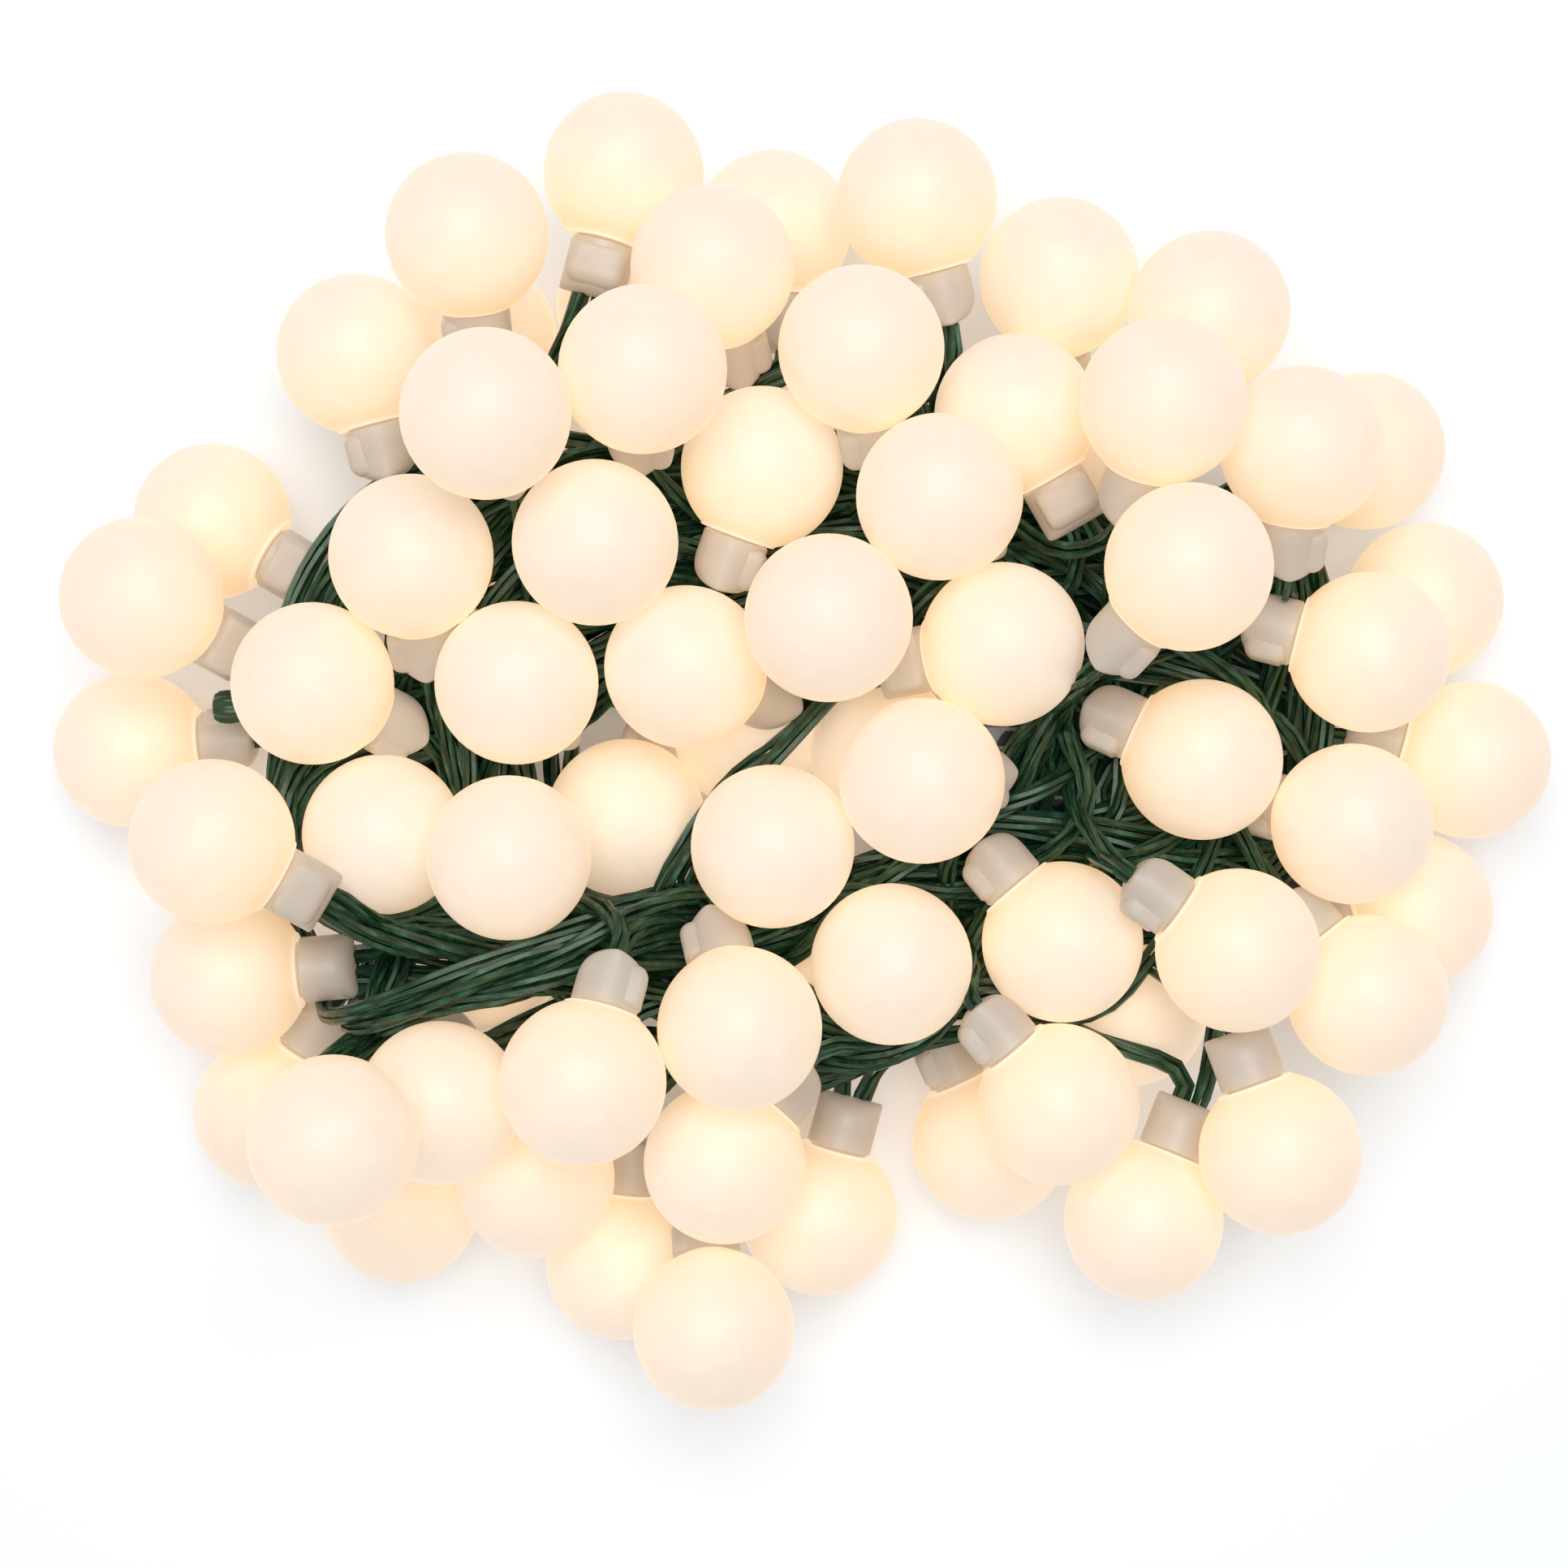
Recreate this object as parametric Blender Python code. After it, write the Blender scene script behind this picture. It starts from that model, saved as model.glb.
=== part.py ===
"""Solar globe string lights, gathered into a loose heap on a flat surface.

The cable is wound into one flat hank. Frosted globes stand out of it on all sides, each on a
lampholder moulded to the cable. The solar power unit lies flat under the hank and feeds the cable
through a rubber gland. Metres, +Z up; the origin is under the middle of the heap, on the surface.
"""

import math

import bmesh
import bpy
from mathutils import Matrix, Vector

MM = 0.001
GAP = 0.3 * MM  # air left between two pieces that touch
FLAT = 90.0  # roll of a lampholder whose rounded outline faces up
EDGE = 0.0  # roll of a lampholder whose square outline faces up

# Lights
GLOBE_R = 15.0 * MM
GLOBE_WALL = 1.0 * MM
HOLDER_R = 6.2 * MM
HOLDER_TAIL = 24.0 * MM  # from the globe's centre to the end of the lampholder
SPIGOT_R = 5.3 * MM
LED_R = 2.5 * MM
GLOBE_SIDES = 10
GLOBE_BANDS = 6

# Cable
CABLE_R = 2.0 * MM
HANK_HALF_LENGTH = 78.0 * MM  # middle of the hank's turns, from its centre
HANK_HALF_WIDTH = 50.0 * MM
HANK_HALF_THICKNESS = 17.0 * MM
HANK_HALF_HEIGHT = 8.5 * MM
HANK_HEIGHT = 28.5 * MM
HANK_STEPS = 40
HANK_SIDES = 8

# Power unit
UNIT_X, UNIT_Y = 65.0 * MM, 7.0 * MM
UNIT_SIDE = 70.0 * MM
UNIT_HEIGHT = 18.0 * MM
WALL = 2.0 * MM
SPLIT_HEIGHT = 12.0 * MM  # top of the rear cover's wall
WINDOW_SIDE = 60.0 * MM
LAMINATE_SIDE = 63.4 * MM
LAMINATE_THICKNESS = 2.3 * MM
OUTLET_HEIGHT = 6.3 * MM
BUTTON_R = 3.6 * MM
BUTTON_SPACING = 16.0 * MM
BATTERY_R = 5.2 * MM
BATTERY_LENGTH = 44.0 * MM

# Where each light lies: the globe's centre x, y, z in mm, the bearing from the globe to its
# lampholder's tail (0 is +X, 90 is +Y), how many degrees that tail points down, and its roll.
PULL_OFF_LIGHTS = {
    "north": (23, 103, 35, -75, 10, FLAT),
    "northwest": (-60, 94, 49, -85, 25, FLAT),
    "west": (-107, -43, 28, 5, 0, EDGE),
    "south": (66, -89, 30, 68, 5, EDGE),
    "east": (129, -2, 24, 165, 5, EDGE),
}
RIM_LIGHTS = [
    (-32, 108, 35, -105, 0, EDGE),
    (-4, 101, 15, -85, 0, FLAT),
    (107, 18, 39, 165, 10, FLAT),
    (90, -75, 42, 110, 5, EDGE),
    (5, -90, 17, 75, 0, EDGE),
    (-15, -108, 39, 96, 42, FLAT),
    (-76, -88, 15, 80, -5, FLAT),
    (-81, -69, 75, 125, 68, FLAT),
    (-106, -17, 53, -30, 15, EDGE),
    (-128, 0, 15, 5, 0, FLAT),
    (-121, 28, 42, -30, 35, EDGE),
    (-82, 74, 35, -75, 5, FLAT),
]
CROWN_LIGHTS = [
    (12, 72, 58, -80, 35, FLAT),
    (6, 23, 66, -90, 80, FLAT),
    (26, 45, 61, -35, 64, FLAT),
    (66, 62, 62, -106, 28, FLAT),
    (38, 19, 50, -170, 20, EDGE),
    (70, 32, 67, -132, 24, FLAT),
    (76, -2, 38, 155, 10, FLAT),
    (23, -6, 57, 5, 55, FLAT),
    (81, -37, 50, 145, 0, FLAT),
    (50, -36, 38, 130, 5, FLAT),
    (49, -66, 41, 130, 0, FLAT),
    (18, -40, 41, 60, 80, FLAT),
    (-10, -51, 54, 105, 35, FLAT),
    (-4, -18, 49, -60, 80, FLAT),
    (-38, -60, 62, 75, 15, FLAT),
    (-52, -20, 53, 90, 80, FLAT),
    (-89, 12, 44, -28, 34, FLAT),
    (-51, 12, 48, -50, 66, FLAT),
    (-70, 35, 51, -85, 35, FLAT),
    (-36, 37, 58, -70, 80, FLAT),
    (-54, 58, 78, -75, 70, FLAT),
    (-27, 67, 68, -97, 57, FLAT),
]

# The cable's short free stretch, from the power unit's gland to the inside of the hank, in mm.
FEED_ROUTE = [
    (23.4, 7.0, 6.3),
    (17.5, 7.6, 5.8),
    (12.0, 10.5, 5.2),
    (8.0, 16.0, 5.4),
    (5.0, 22.0, 7.6),
    (2.0, 27.0, 12.0),
    (-1.0, 31.0, 17.6),
    (-3.0, 34.5, 22.0),
]
END_CAP_TIP = Vector((-110.0, 8.0, 29.0)) * MM
END_CAP_R = 3.3 * MM
END_CAP_LENGTH = 12.0 * MM


def clear_scene():
    for obj in list(bpy.data.objects):
        bpy.data.objects.remove(obj)


def make_material(name, colour, roughness, metallic=0.0):
    material = bpy.data.materials.new(name)
    material.use_nodes = True
    shader = material.node_tree.nodes["Principled BSDF"]
    shader.inputs["Base Color"].default_value = (*colour, 1.0)
    shader.inputs["Roughness"].default_value = roughness
    shader.inputs["Metallic"].default_value = metallic
    return material


def add_object(name, bm, material, matrix=None):
    """Turns a bmesh into a smooth-shaded object with sharp edges kept."""
    bmesh.ops.remove_doubles(bm, verts=bm.verts, dist=1e-6)
    bmesh.ops.recalc_face_normals(bm, faces=bm.faces)
    mesh = bpy.data.meshes.new(name)
    bm.to_mesh(mesh)
    bm.free()
    mesh.shade_smooth()
    mesh.set_sharp_from_angle(angle=math.radians(40))
    obj = bpy.data.objects.new(name, mesh)
    bpy.context.collection.objects.link(obj)
    if material is not None:
        obj.data.materials.append(material)
    if matrix is not None:
        obj.matrix_world = matrix
    return obj


def turned(rings, sides, ring_shaped=False):
    """A solid turned about Z. A ring is (radius, height) or (radius, height, width along X)."""
    bm = bmesh.new()
    loops = []
    for ring in rings:
        radius, height = ring[0], ring[1]
        narrow = ring[2] if len(ring) > 2 else 1.0
        count = sides if radius > 0 else 1
        loop = []
        for i in range(count):
            turn = 2 * math.pi * i / sides
            x = radius * narrow * math.cos(turn)
            loop.append(bm.verts.new((x, radius * math.sin(turn), height)))
        loops.append(loop)
    pairs = list(zip(loops, loops[1:]))
    if ring_shaped:
        pairs.append((loops[-1], loops[0]))
    for lower, upper in pairs:
        bridge(bm, lower, upper, sides)
    if not ring_shaped:
        for loop in (loops[0], loops[-1]):
            if len(loop) > 1:
                bm.faces.new(loop)
    return bm


def bridge(bm, lower, upper, sides):
    for i in range(sides):
        j = (i + 1) % sides
        if len(lower) == 1:
            bm.faces.new((lower[0], upper[i], upper[j]))
        elif len(upper) == 1:
            bm.faces.new((lower[i], lower[j], upper[0]))
        else:
            bm.faces.new((lower[i], lower[j], upper[j], upper[i]))


def box_mesh(low, high):
    bm = bmesh.new()
    bmesh.ops.create_cube(bm, size=1.0)
    for vert in bm.verts:
        for axis in range(3):
            middle = (low[axis] + high[axis]) / 2
            vert.co[axis] = middle + vert.co[axis] * (high[axis] - low[axis])
    return bm


def rounded_box_mesh(low, high, corner):
    """A box whose four upright edges are rounded."""
    bm = box_mesh(low, high)
    upright = [e for e in bm.edges if abs(e.verts[0].co.z - e.verts[1].co.z) > 1e-6]
    bmesh.ops.bevel(bm, geom=upright, offset=corner, segments=3, affect="EDGES", profile=0.5)
    return bm


def cut(obj, cutter):
    modifier = obj.modifiers.new(cutter.name, "BOOLEAN")
    modifier.operation = "DIFFERENCE"
    modifier.object = cutter
    cutter.hide_render = True
    cutter.display_type = "WIRE"


# ---------------------------------------------------------------- lights


def light_matrix(place):
    """Local +Z runs from the lampholder to the globe's far pole, and the origin is the globe's centre."""
    x, y, z, bearing, dip, roll = place
    turn = Matrix.Rotation(math.radians(bearing), 4, "Z")
    lean = Matrix.Rotation(math.radians(90 + dip) - math.pi, 4, "Y")
    spin = Matrix.Rotation(math.radians(roll), 4, "Z")
    return Matrix.Translation(Vector((x, y, z)) * MM) @ turn @ lean @ spin


def globe_rings(radius, mouth, bands):
    """Rings of a ball from its pole at +Z down to a round mouth."""
    last = math.pi - math.asin(mouth / radius)
    rings = [(0.0, radius)]
    for i in range(1, bands + 1):
        angle = last * i / bands
        rings.append((radius * math.sin(angle), radius * math.cos(angle)))
    return rings


def holder_rings(spare=0.0):
    """The lampholder's body. Its tail is rounded seen along Y and square seen along X."""
    radius = HOLDER_R + spare
    shoulder = -HOLDER_TAIL + HOLDER_R
    rings = [(radius, shoulder)]
    for share in (0.55, 0.85, 1.0):
        drop = (HOLDER_R + spare) * share
        narrow = math.sqrt(max(1 - share**2, 0.05))
        rings.append((radius, shoulder - drop, narrow))
    return rings


def whole_light_mesh(spare=0.0):
    """Globe and lampholder in one solid; spare makes it fatter all over, as a cutter."""
    rings = globe_rings(GLOBE_R + spare, HOLDER_R + spare, GLOBE_BANDS)
    return turned(rings + holder_rings(spare), GLOBE_SIDES)


def make_whole_light(name, place, material):
    return add_object(name, whole_light_mesh(), material, light_matrix(place))


def make_globe(name, place, material):
    """A thin frosted ball with a round mouth that pushes over the lampholder's spigot."""
    outside = globe_rings(GLOBE_R, SPIGOT_R + 1.3 * MM, GLOBE_BANDS)
    inside = globe_rings(GLOBE_R - GLOBE_WALL, SPIGOT_R + GAP, GLOBE_BANDS)
    bm = turned(outside + inside[::-1], GLOBE_SIDES)
    return add_object(name, bm, material, light_matrix(place))


def make_lampholder(name, place, material):
    """A milky moulding: a spigot that the globe grips, a shoulder, a round body and a flat tail."""
    top = -GLOBE_R + 5.0 * MM
    shoulder = -math.sqrt(GLOBE_R**2 - (SPIGOT_R + 1.3 * MM) ** 2) - GAP
    pocket_r = LED_R + GAP
    pocket_floor = top - 3.3 * MM
    rings = [
        (0.0, pocket_floor),
        (pocket_r, pocket_floor),
        (pocket_r, top),
        (SPIGOT_R, top),
        (SPIGOT_R, shoulder),
        (HOLDER_R, shoulder),
    ]
    bm = turned(rings + holder_rings(), GLOBE_SIDES)
    return add_object(name, bm, material, light_matrix(place))


def make_led(name, place, material):
    """A domed 5 mm LED standing in the lampholder's pocket."""
    foot = -GLOBE_R + 2.0 * MM
    shoulder = foot + 6.0 * MM
    rings = [(LED_R, foot), (LED_R, shoulder)]
    for step in (1, 2):
        angle = math.radians(30 * step)
        rings.append((LED_R * math.cos(angle), shoulder + LED_R * math.sin(angle)))
    rings.append((0.0, shoulder + LED_R))
    return add_object(name, turned(rings, 8), material, light_matrix(place))


def make_lights(materials):
    for side, place in PULL_OFF_LIGHTS.items():
        make_globe(f"globe_{side}", place, materials["globe"])
        make_lampholder(f"lampholder_{side}", place, materials["lampholder"])
        make_led(f"led_{side}", place, materials["led"])
    for group, places in (("rim", RIM_LIGHTS), ("crown", CROWN_LIGHTS)):
        for number, place in enumerate(places, 1):
            make_whole_light(f"light_{group}_{number:02d}", place, materials["globe"])


# ---------------------------------------------------------------- cable


def make_feed_lead(material):
    curve = bpy.data.curves.new("feed_lead", "CURVE")
    curve.dimensions = "3D"
    curve.bevel_depth = CABLE_R
    curve.bevel_resolution = 2
    curve.use_fill_caps = True
    spline = curve.splines.new("POLY")
    points = smooth_points([Vector(p) * MM for p in FEED_ROUTE], 3)
    spline.points.add(len(points) - 1)
    for point, co in zip(spline.points, points):
        point.co = (*co, 1.0)
    curve.materials.append(material)
    obj = bpy.data.objects.new("feed_lead", curve)
    bpy.context.collection.objects.link(obj)
    return obj


def smooth_points(route, steps):
    """Points along a Catmull-Rom curve through the route."""
    ends = [2 * route[0] - route[1], *route, 2 * route[-1] - route[-2]]
    points = []
    for a, b, c, d in zip(ends, ends[1:], ends[2:], ends[3:]):
        for i in range(steps):
            t = i / steps
            points.append(
                0.5 * (2 * b + (c - a) * t + (2 * a - 5 * b + 4 * c - d) * t**2
                       + (3 * b - a - 3 * c + d) * t**3)
            )
    points.append(route[-1])
    return points


def make_end_cap(material):
    """The moulded cap that seals the cable's far end."""
    rings = [
        (0.0, 0.0),
        (END_CAP_R * 0.75, 0.5 * MM),
        (END_CAP_R, 2.0 * MM),
        (END_CAP_R, END_CAP_LENGTH - 2.0 * MM),
        (CABLE_R, END_CAP_LENGTH),
    ]
    matrix = Matrix.Translation(END_CAP_TIP) @ Matrix.Rotation(math.radians(90), 4, "Y")
    return add_object("end_cap", turned(rings, 10), material, matrix)


def hank_mesh():
    """A flat oval ring round the middle of the cable's turns."""
    bm = bmesh.new()
    loops = []
    for step in range(HANK_STEPS):
        turn = 2 * math.pi * step / HANK_STEPS
        middle = Vector((HANK_HALF_LENGTH * math.cos(turn), HANK_HALF_WIDTH * math.sin(turn), 0))
        out = Vector((math.cos(turn), math.sin(turn), 0))
        loop = []
        for side in range(HANK_SIDES):
            angle = 2 * math.pi * (side + 0.5) / HANK_SIDES
            across = HANK_HALF_THICKNESS * math.cos(angle)
            up = HANK_HALF_HEIGHT * math.sin(angle) / math.sin(math.radians(67.5))
            loop.append(bm.verts.new(middle + out * across + Vector((0, 0, HANK_HEIGHT + up))))
        loops.append(loop)
    for first, second in zip(loops, loops[1:] + loops[:1]):
        bridge(bm, first, second, HANK_SIDES)
    return bm


def keep_largest_piece(obj):
    """Applies the cuts and drops the crumbs that they leave beside the main body."""
    graph = bpy.context.evaluated_depsgraph_get()
    mesh = bpy.data.meshes.new_from_object(obj.evaluated_get(graph))
    obj.modifiers.clear()
    obj.data = mesh
    bm = bmesh.new()
    bm.from_mesh(mesh)
    left = set(bm.verts)
    pieces = []
    while left:
        piece = set()
        edge_of_piece = [left.pop()]
        while edge_of_piece:
            vert = edge_of_piece.pop()
            piece.add(vert)
            near = {e.other_vert(vert) for e in vert.link_edges} & left
            left -= near
            edge_of_piece.extend(near)
        pieces.append(piece)
    pieces.sort(key=len)
    crumbs = [vert for piece in pieces[:-1] for vert in piece]
    bmesh.ops.delete(bm, geom=crumbs, context="VERTS")
    bm.to_mesh(mesh)
    bm.free()


def make_hank(material):
    """The wound cable as one solid, hollowed where the lights, the lead and the end cap lie."""
    hank = add_object("cable_hank", hank_mesh(), material)
    spare = 2 * GAP
    places = [*PULL_OFF_LIGHTS.values(), *RIM_LIGHTS, *CROWN_LIGHTS]
    for number, place in enumerate(places):
        cutter = add_object(f"room_{number}", whole_light_mesh(spare), None, light_matrix(place))
        cut(hank, cutter)
    rings = [
        (END_CAP_R + spare, -spare),
        (END_CAP_R + spare, END_CAP_LENGTH + GAP),
    ]
    matrix = Matrix.Translation(END_CAP_TIP) @ Matrix.Rotation(math.radians(90), 4, "Y")
    cut(hank, add_object("room_end_cap", turned(rings, 10), None, matrix))
    tip = Vector(FEED_ROUTE[-1]) * MM
    along = (tip - Vector(FEED_ROUTE[-2]) * MM).normalized()
    matrix = Matrix.Translation(tip - along * 12 * MM) @ along.to_track_quat("Z", "Y").to_matrix().to_4x4()
    rings = [(CABLE_R + spare, 0.0), (CABLE_R + spare, 12 * MM + GAP)]
    cut(hank, add_object("room_feed_lead", turned(rings, 10), None, matrix))
    keep_largest_piece(hank)
    return hank


# ---------------------------------------------------------------- power unit


def unit_corner(side, low, high):
    half = side / 2
    return (UNIT_X - half, UNIT_Y - half, low), (UNIT_X + half, UNIT_Y + half, high)


def button_places():
    y = UNIT_Y - UNIT_SIDE / 2
    for offset in (-BUTTON_SPACING / 2, BUTTON_SPACING / 2):
        yield Vector((UNIT_X + offset, y, OUTLET_HEIGHT))


def make_rear_cover(material):
    """An open tray with a hole for each button in its front wall and one for the cable gland."""
    outside = rounded_box_mesh(*unit_corner(UNIT_SIDE, 0, SPLIT_HEIGHT), 5 * MM)
    cover = add_object("rear_cover", outside, material)
    inside = rounded_box_mesh(*unit_corner(UNIT_SIDE - 2 * WALL, WALL, SPLIT_HEIGHT + WALL), 3 * MM)
    cut(cover, add_object("tray_room", inside, None))
    along_y = Matrix.Rotation(math.radians(90), 4, "X")
    for number, place in enumerate(button_places()):
        hole = turned([(BUTTON_R + GAP, -2 * WALL), (BUTTON_R + GAP, 2 * WALL)], 16)
        cut(cover, add_object(f"button_hole_{number}", hole, None, Matrix.Translation(place) @ along_y))
    along_x = Matrix.Rotation(math.radians(90), 4, "Y")
    outlet = Vector((UNIT_X - UNIT_SIDE / 2, UNIT_Y, OUTLET_HEIGHT))
    hole = turned([(3.5 * MM, -2 * WALL), (3.5 * MM, 2 * WALL)], 12)
    cut(cover, add_object("outlet_hole", hole, None, Matrix.Translation(outlet) @ along_x))


def make_panel_frame(material):
    """The upper shell: a window over the solar cell, and a rebate below it that holds the laminate."""
    low, high = SPLIT_HEIGHT + GAP, UNIT_HEIGHT
    outside = rounded_box_mesh(*unit_corner(UNIT_SIDE, low, high), 5 * MM)
    frame = add_object("panel_frame", outside, material)
    cut(frame, add_object("window", box_mesh(*unit_corner(WINDOW_SIDE, 0, UNIT_HEIGHT + WALL)), None))
    rebate_top = UNIT_HEIGHT - 1.8 * MM
    rebate = box_mesh(*unit_corner(LAMINATE_SIDE + 2 * GAP, 0, rebate_top))
    cut(frame, add_object("rebate", rebate, None))


def make_solar_laminate(material):
    top = UNIT_HEIGHT - 1.8 * MM - GAP
    corners = unit_corner(LAMINATE_SIDE, top - LAMINATE_THICKNESS, top)
    add_object("solar_cell_laminate", box_mesh(*corners), material)


def make_battery(material):
    """A rechargeable AAA cell with its raised button end, lying along X in the tray."""
    rings = [
        (BATTERY_R, 0.0),
        (BATTERY_R, BATTERY_LENGTH - 0.8 * MM),
        (1.9 * MM, BATTERY_LENGTH - 0.8 * MM),
        (1.9 * MM, BATTERY_LENGTH),
    ]
    start = Vector((UNIT_X - BATTERY_LENGTH / 2, UNIT_Y + 22 * MM, WALL + BATTERY_R + GAP))
    matrix = Matrix.Translation(start) @ Matrix.Rotation(math.radians(90), 4, "Y")
    add_object("battery_cell", turned(rings, 16), material, matrix)


def make_charge_board(material):
    """The charge controller's circuit board, with a raised chip."""
    low = (UNIT_X - 20 * MM, UNIT_Y - 17 * MM, WALL + 2 * MM)
    high = (UNIT_X + 20 * MM, UNIT_Y + 8 * MM, WALL + 3.6 * MM)
    board = add_object("charge_board", box_mesh(low, high), material)
    chip_low = (UNIT_X - 5 * MM, UNIT_Y - 6 * MM, high[2] - 0.5 * MM)
    chip_high = (UNIT_X + 5 * MM, UNIT_Y + 2 * MM, high[2] + 1.6 * MM)
    chip = add_object("chip", box_mesh(chip_low, chip_high), None)
    join = board.modifiers.new("chip", "BOOLEAN")
    join.operation = "UNION"
    join.object = chip
    chip.hide_render = True
    chip.display_type = "WIRE"


def make_buttons(material):
    """Two rubber push buttons: a cap that stands out of the wall and a flange that stops it inside."""
    for name, place in zip(("power_button", "mode_button"), button_places()):
        rings = [
            (BUTTON_R - 0.8 * MM, 1.8 * MM),
            (BUTTON_R, 1.2 * MM),
            (BUTTON_R, -WALL - GAP),
            (BUTTON_R + 0.5 * MM, -WALL - GAP),
            (BUTTON_R + 0.5 * MM, -WALL - 1.2 * MM),
        ]
        matrix = Matrix.Translation(place) @ Matrix.Rotation(math.radians(90), 4, "X")
        add_object(name, turned(rings, 16), material, matrix)


def make_gland(material):
    """The rubber gland that grips the cable in the rear cover's side wall."""
    bore, neck, flange = CABLE_R + GAP, 3.2 * MM, 3.9 * MM
    rings = [
        (bore, -6.0 * MM),
        (neck, -6.0 * MM),
        (flange, -GAP - 2.0 * MM),
        (flange, -GAP),
        (neck, -GAP),
        (neck, WALL + GAP),
        (flange, WALL + GAP),
        (flange, WALL + 1.5 * MM),
        (bore, WALL + 1.5 * MM),
    ]
    outlet = Vector((UNIT_X - UNIT_SIDE / 2, UNIT_Y, OUTLET_HEIGHT))
    matrix = Matrix.Translation(outlet) @ Matrix.Rotation(math.radians(90), 4, "Y")
    add_object("lead_gland", turned(rings, 12, ring_shaped=True), material, matrix)


def make_power_unit(materials):
    make_rear_cover(materials["housing"])
    make_panel_frame(materials["housing"])
    make_solar_laminate(materials["solar"])
    make_battery(materials["battery"])
    make_charge_board(materials["board"])
    make_buttons(materials["rubber"])
    make_gland(materials["rubber"])


def main():
    clear_scene()
    materials = {
        "globe": make_material("frosted_globe", (1.0, 0.93, 0.82), 0.45),
        "lampholder": make_material("milky_lampholder", (0.80, 0.73, 0.66), 0.4),
        "led": make_material("clear_led", (1.0, 0.9, 0.6), 0.1),
        "cable": make_material("green_cable", (0.02, 0.07, 0.045), 0.35),
        "housing": make_material("black_housing", (0.02, 0.02, 0.022), 0.5),
        "solar": make_material("solar_laminate", (0.01, 0.015, 0.05), 0.15),
        "battery": make_material("battery_wrap", (0.05, 0.35, 0.12), 0.3),
        "board": make_material("circuit_board", (0.02, 0.2, 0.08), 0.5),
        "rubber": make_material("black_rubber", (0.03, 0.03, 0.03), 0.8),
    }
    make_lights(materials)
    make_feed_lead(materials["cable"])
    make_end_cap(materials["cable"])
    make_hank(materials["cable"])
    make_power_unit(materials)


main()
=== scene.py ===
"""Looks for the solar globe string lights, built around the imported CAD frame.

Frosted glowing globes on milky lampholders, the wound green cable that joins them, and the solar
power unit under the heap. Metres, +Z up, in the CAD model's own frame.
"""

import math

import bpy
import numpy as np
from mathutils import Matrix, Vector


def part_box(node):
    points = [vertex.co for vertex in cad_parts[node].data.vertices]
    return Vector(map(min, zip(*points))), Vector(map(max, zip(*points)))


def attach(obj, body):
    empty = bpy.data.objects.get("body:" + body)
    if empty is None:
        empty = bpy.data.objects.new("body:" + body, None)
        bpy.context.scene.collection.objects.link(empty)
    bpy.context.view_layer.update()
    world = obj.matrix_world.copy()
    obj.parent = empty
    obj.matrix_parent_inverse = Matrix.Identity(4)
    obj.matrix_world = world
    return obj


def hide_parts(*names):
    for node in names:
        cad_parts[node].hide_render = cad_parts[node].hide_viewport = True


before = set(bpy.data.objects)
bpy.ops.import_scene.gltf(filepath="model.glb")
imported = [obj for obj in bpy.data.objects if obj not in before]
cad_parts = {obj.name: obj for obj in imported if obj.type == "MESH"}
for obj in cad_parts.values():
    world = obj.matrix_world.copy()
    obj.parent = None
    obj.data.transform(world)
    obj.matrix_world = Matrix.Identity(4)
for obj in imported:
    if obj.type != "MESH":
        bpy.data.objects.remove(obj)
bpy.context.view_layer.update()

MM = 0.001
MAIN_BODY = "string"

# Camera, straight above the heap, and the stage
CAMERA_PLACE = (-0.00193, -0.00657, 0.650)
CAMERA_LENS = 75.34  # mm
CAMERA_SENSOR = 36.0  # mm
FLOOR_HALF = 6.0
SKY_STRENGTH = 0.40
SOFT_LIGHTS = [  # name, place, size and power in watts
    ("key", (0.05, 0.35, 1.6), 1.3, 19.0),
    ("fill", (-1.1, -0.7, 1.0), 1.0, 2.5),
]

# Lights, as in the CAD model
GLOBE_R = 15.0 * MM
GLOBE_WALL = 1.0 * MM
HOLDER_R = 6.2 * MM
HOLDER_TAIL = 24.0 * MM  # from the globe's centre to the end of the lampholder
SPIGOT_R = 5.3 * MM
LED_R = 2.5 * MM
FLAT, EDGE = 90.0, 0.0  # roll of a lampholder: its rounded or its square outline faces up
TURN_SIDES = 56

# Lights deep in the heap, which have no CAD solid of their own: the globe's centre x, y, z in mm,
# the bearing from the globe to its lampholder's tail, how many degrees that tail dips, and its roll
INNER_LIGHTS = [
    (50, 89, 31, -90, 35, FLAT),
    (41, 62, 41, -60, 5, EDGE),
    (77, 81, 41, -115, 30, FLAT),
    (93, 55, 49, -95, 20, FLAT),
    (109, 57, 24, -155, 0, FLAT),
    (122, 29, 15, -150, 0, FLAT),
    (18, -1, 27, 40, 0, FLAT),
    (104, -14, 38, 165, 45, FLAT),
    (120, -31, 15, -170, -5, FLAT),
    (107, -46, 37, 130, 10, FLAT),
    (65, -50, 15, 120, 0, FLAT),
    (38, -76, 15, 115, 0, FLAT),
    (-13, -77, 40, 50, 10, FLAT),
    (-33, -99, 15, 85, 0, FLAT),
    (-49, -81, 29, 65, 0, FLAT),
    (-65, -65, 49, 90, 62, FLAT),
    (-101, -70, 15, 60, -5, FLAT),
    (-32, -13, 27, 70, 42, FLAT),
    (-77, -16, 36, 45, 75, FLAT),
    (-9, 4, 15, 125, 0, FLAT),
    (-112, 44, 18, -30, -5, EDGE),
    (-20, 15, 46, -20, 35, FLAT),
    (-61, 80, 15, -80, 0, FLAT),
    (-31, 86, 15, -75, 0, FLAT),
    (-15, 88, 50, -75, 40, FLAT),
    (-6, 52, 43, -110, 5, FLAT),
]
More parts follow.
